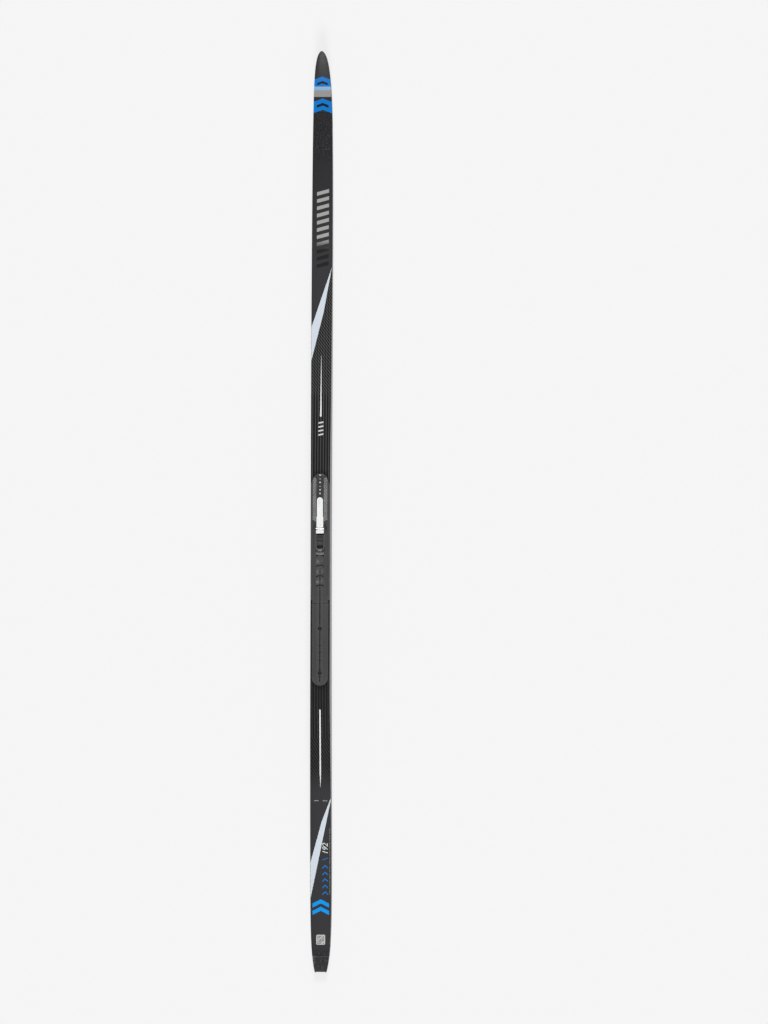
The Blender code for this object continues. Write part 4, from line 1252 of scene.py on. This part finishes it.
class SKI_OT_inner(bpy.types.Operator):
    """Give the ski's inner layers and the small metal parts their finishes"""

    bl_idname = "ski.inner"
    bl_label = "Inner layers and small parts"

    def execute(self, context):
        laminate = laminate_finish()
        pin_steel = steel_finish("turned_steel", (0.58, 0.58, 0.59), (1, 1, 1), 0.26)
        finishes = {"core": wood_finish(), "lever_axle": pin_steel, "flexor_pin": pin_steel}
        for name in ("lower_laminate", "upper_laminate", "binding_reinforcement"):
            finishes[name] = laminate
        for name in frame["nodes"]:
            if name.startswith("screw_"):
                finishes[name] = screw_finish(name)
        for name, material in finishes.items():
            mesh = frame["nodes"][name].data
            mesh.materials.clear()
            mesh.materials.append(material)
        return {"FINISHED"}


class SKI_OT_print(bpy.types.Operator):
    """Lay the printed shapes on the top film"""

    bl_idname = "ski.print"
    bl_label = "Print"

    def execute(self, context):
        film = bpy.data.objects["top_film"]
        skin, top_skin = print_skin(film, 1), print_skin(film, 2)
        for make in (
            make_wedges, make_centre_lines, make_bars, make_small_marks, make_size_mark,
            make_tail_emblem,
        ):
            make(skin)
        make_tip_mark(skin, top_skin)
        make_tail_label(skin, top_skin)
        remove(skin, top_skin)
        return {"FINISHED"}


class SKI_OT_plates(bpy.types.Operator):
    """Finish the binding's two plates"""

    bl_idname = "ski.plates"
    bl_label = "Plates"

    def execute(self, context):
        material = plate_finish()
        make_toe_plate(material)
        make_heel_plate(material)
        return {"FINISHED"}


class SKI_OT_cover(bpy.types.Operator):
    """Model the smoked housing cover"""

    bl_idname = "ski.cover"
    bl_label = "Housing cover"

    def execute(self, context):
        make_cover()
        return {"FINISHED"}


class SKI_OT_mechanism(bpy.types.Operator):
    """Finish the lever, the jaw with its cradle, the spring and the flexor"""

    bl_idname = "ski.mechanism"
    bl_label = "Lever, jaw, spring and flexor"

    def execute(self, context):
        make_lever()
        make_jaw_and_cradle()
        make_spring()
        make_flexor()
        return {"FINISHED"}


class SKI_OT_stage(bpy.types.Operator):
    """Set the floor, the lights and the camera"""

    bl_idname = "ski.stage"
    bl_label = "Stage"

    def execute(self, context):
        scene, stage = context.scene, context.scene.ski_stage
        scene.view_settings.view_transform = "Standard"
        make_floor(stage)
        make_lights(scene, stage)
        make_camera(scene, stage)
        return {"FINISHED"}


def make_floor(stage):
    bpy.ops.object.select_all(action="DESELECT")
    bpy.ops.mesh.primitive_plane_add(size=40, location=(0, 0, -0.0002))
    floor = bpy.context.object
    floor.name = "floor"
    f = Finish("pale_floor", 0.9)
    f.shader.inputs["Specular IOR Level"].default_value = 0.0
    f.shader.inputs["Emission Color"].default_value = (1.0, 1.0, 1.0, 1)
    f.shader.inputs["Emission Strength"].default_value = stage.glow
    f.paint(f.mix(f.grain(3), tone(stage.floor, 0.997), stage.floor))
    floor.data.materials.append(f.material)


def make_lights(scene, stage):
    """Two wide soft suns, low beyond the tip and beyond the tail, and an even light all round."""
    for lean in (-1, 1):
        bpy.ops.object.light_add(type="SUN", location=(0, lean * 2, 3))
        sun = bpy.context.object
        sun.name = "key_light"
        sun.data.energy = stage.key
        sun.data.angle = SUN_WIDTH
        towards = Vector((math.tan(stage.tilt), lean * math.tan(SUN_LEAN), 1))
        sun.rotation_euler = towards.to_track_quat("Z", "Y").to_euler()
    world = bpy.data.worlds.new("studio")
    world.use_nodes = True
    scene.world = world
    nodes, links = world.node_tree.nodes, world.node_tree.links
    seen = nodes.new("ShaderNodeLightPath")
    strength = nodes.new("ShaderNodeMapRange")
    strength.inputs["To Min"].default_value = stage.fill
    strength.inputs["To Max"].default_value = 0.9
    links.new(seen.outputs["Is Camera Ray"], strength.inputs["Value"])
    links.new(strength.outputs[0], nodes["Background"].inputs["Strength"])
    nodes["Background"].inputs["Color"].default_value = (1, 1, 1, 1)


def make_camera(scene, stage):
    """A long lens straight above, leaning a little to the ski's right-hand side."""
    bpy.ops.object.camera_add()
    camera = bpy.context.object
    camera.name = "camera"
    camera.data.sensor_width = 36
    camera.data.lens = stage.lens
    distance = stage.tall * stage.lens / camera.data.sensor_width
    back = Vector((math.sin(stage.tilt), 0, math.cos(stage.tilt)))
    right = Vector((math.cos(stage.tilt), 0, -math.sin(stage.tilt)))
    camera.location = right * stage.aside + back * distance + Vector((0, stage.ahead, 0))
    turned = Matrix.Rotation(stage.roll, 3, back) @ Matrix((right, (0, 1, 0), back)).transposed()
    camera.rotation_euler = turned.to_euler()
    camera.data.clip_start, camera.data.clip_end = 0.1, 100
    scene.camera = camera


class SKI_PT_panel(bpy.types.Panel):
    bl_label = "Cross country ski"
    bl_idname = "SKI_PT_panel"
    bl_space_type = "VIEW_3D"
    bl_region_type = "UI"
    bl_category = "Ski"

    def draw(self, context):
        for operator in OPERATORS:
            self.layout.operator(operator.bl_idname)
        for group in (context.scene.ski_sizes, context.scene.ski_colours, context.scene.ski_stage):
            column = self.layout.column()
            for name in group.__annotations__:
                column.prop(group, name)


OPERATORS = (
    SKI_OT_body, SKI_OT_inner, SKI_OT_print, SKI_OT_plates, SKI_OT_cover, SKI_OT_mechanism,
    SKI_OT_stage,
)
GROUPS = {"ski_sizes": SkiSizes, "ski_colours": SkiColours, "ski_stage": SkiStage}


def register():
    for group in (*GROUPS.values(), *OPERATORS, SKI_PT_panel):
        bpy.utils.register_class(group)
    for name, group in GROUPS.items():
        setattr(bpy.types.Scene, name, bpy.props.PointerProperty(type=group))


def unregister():
    for name in GROUPS:
        delattr(bpy.types.Scene, name)
    for group in (SKI_PT_panel, *reversed(OPERATORS), *GROUPS.values()):
        bpy.utils.unregister_class(group)


def main():
    register()
    bpy.ops.ski.body()
    bpy.ops.ski.inner()
    bpy.ops.ski.print()
    bpy.ops.ski.plates()
    bpy.ops.ski.cover()
    bpy.ops.ski.mechanism()
    bpy.ops.ski.stage()


if __name__ == "__main__":
    main()
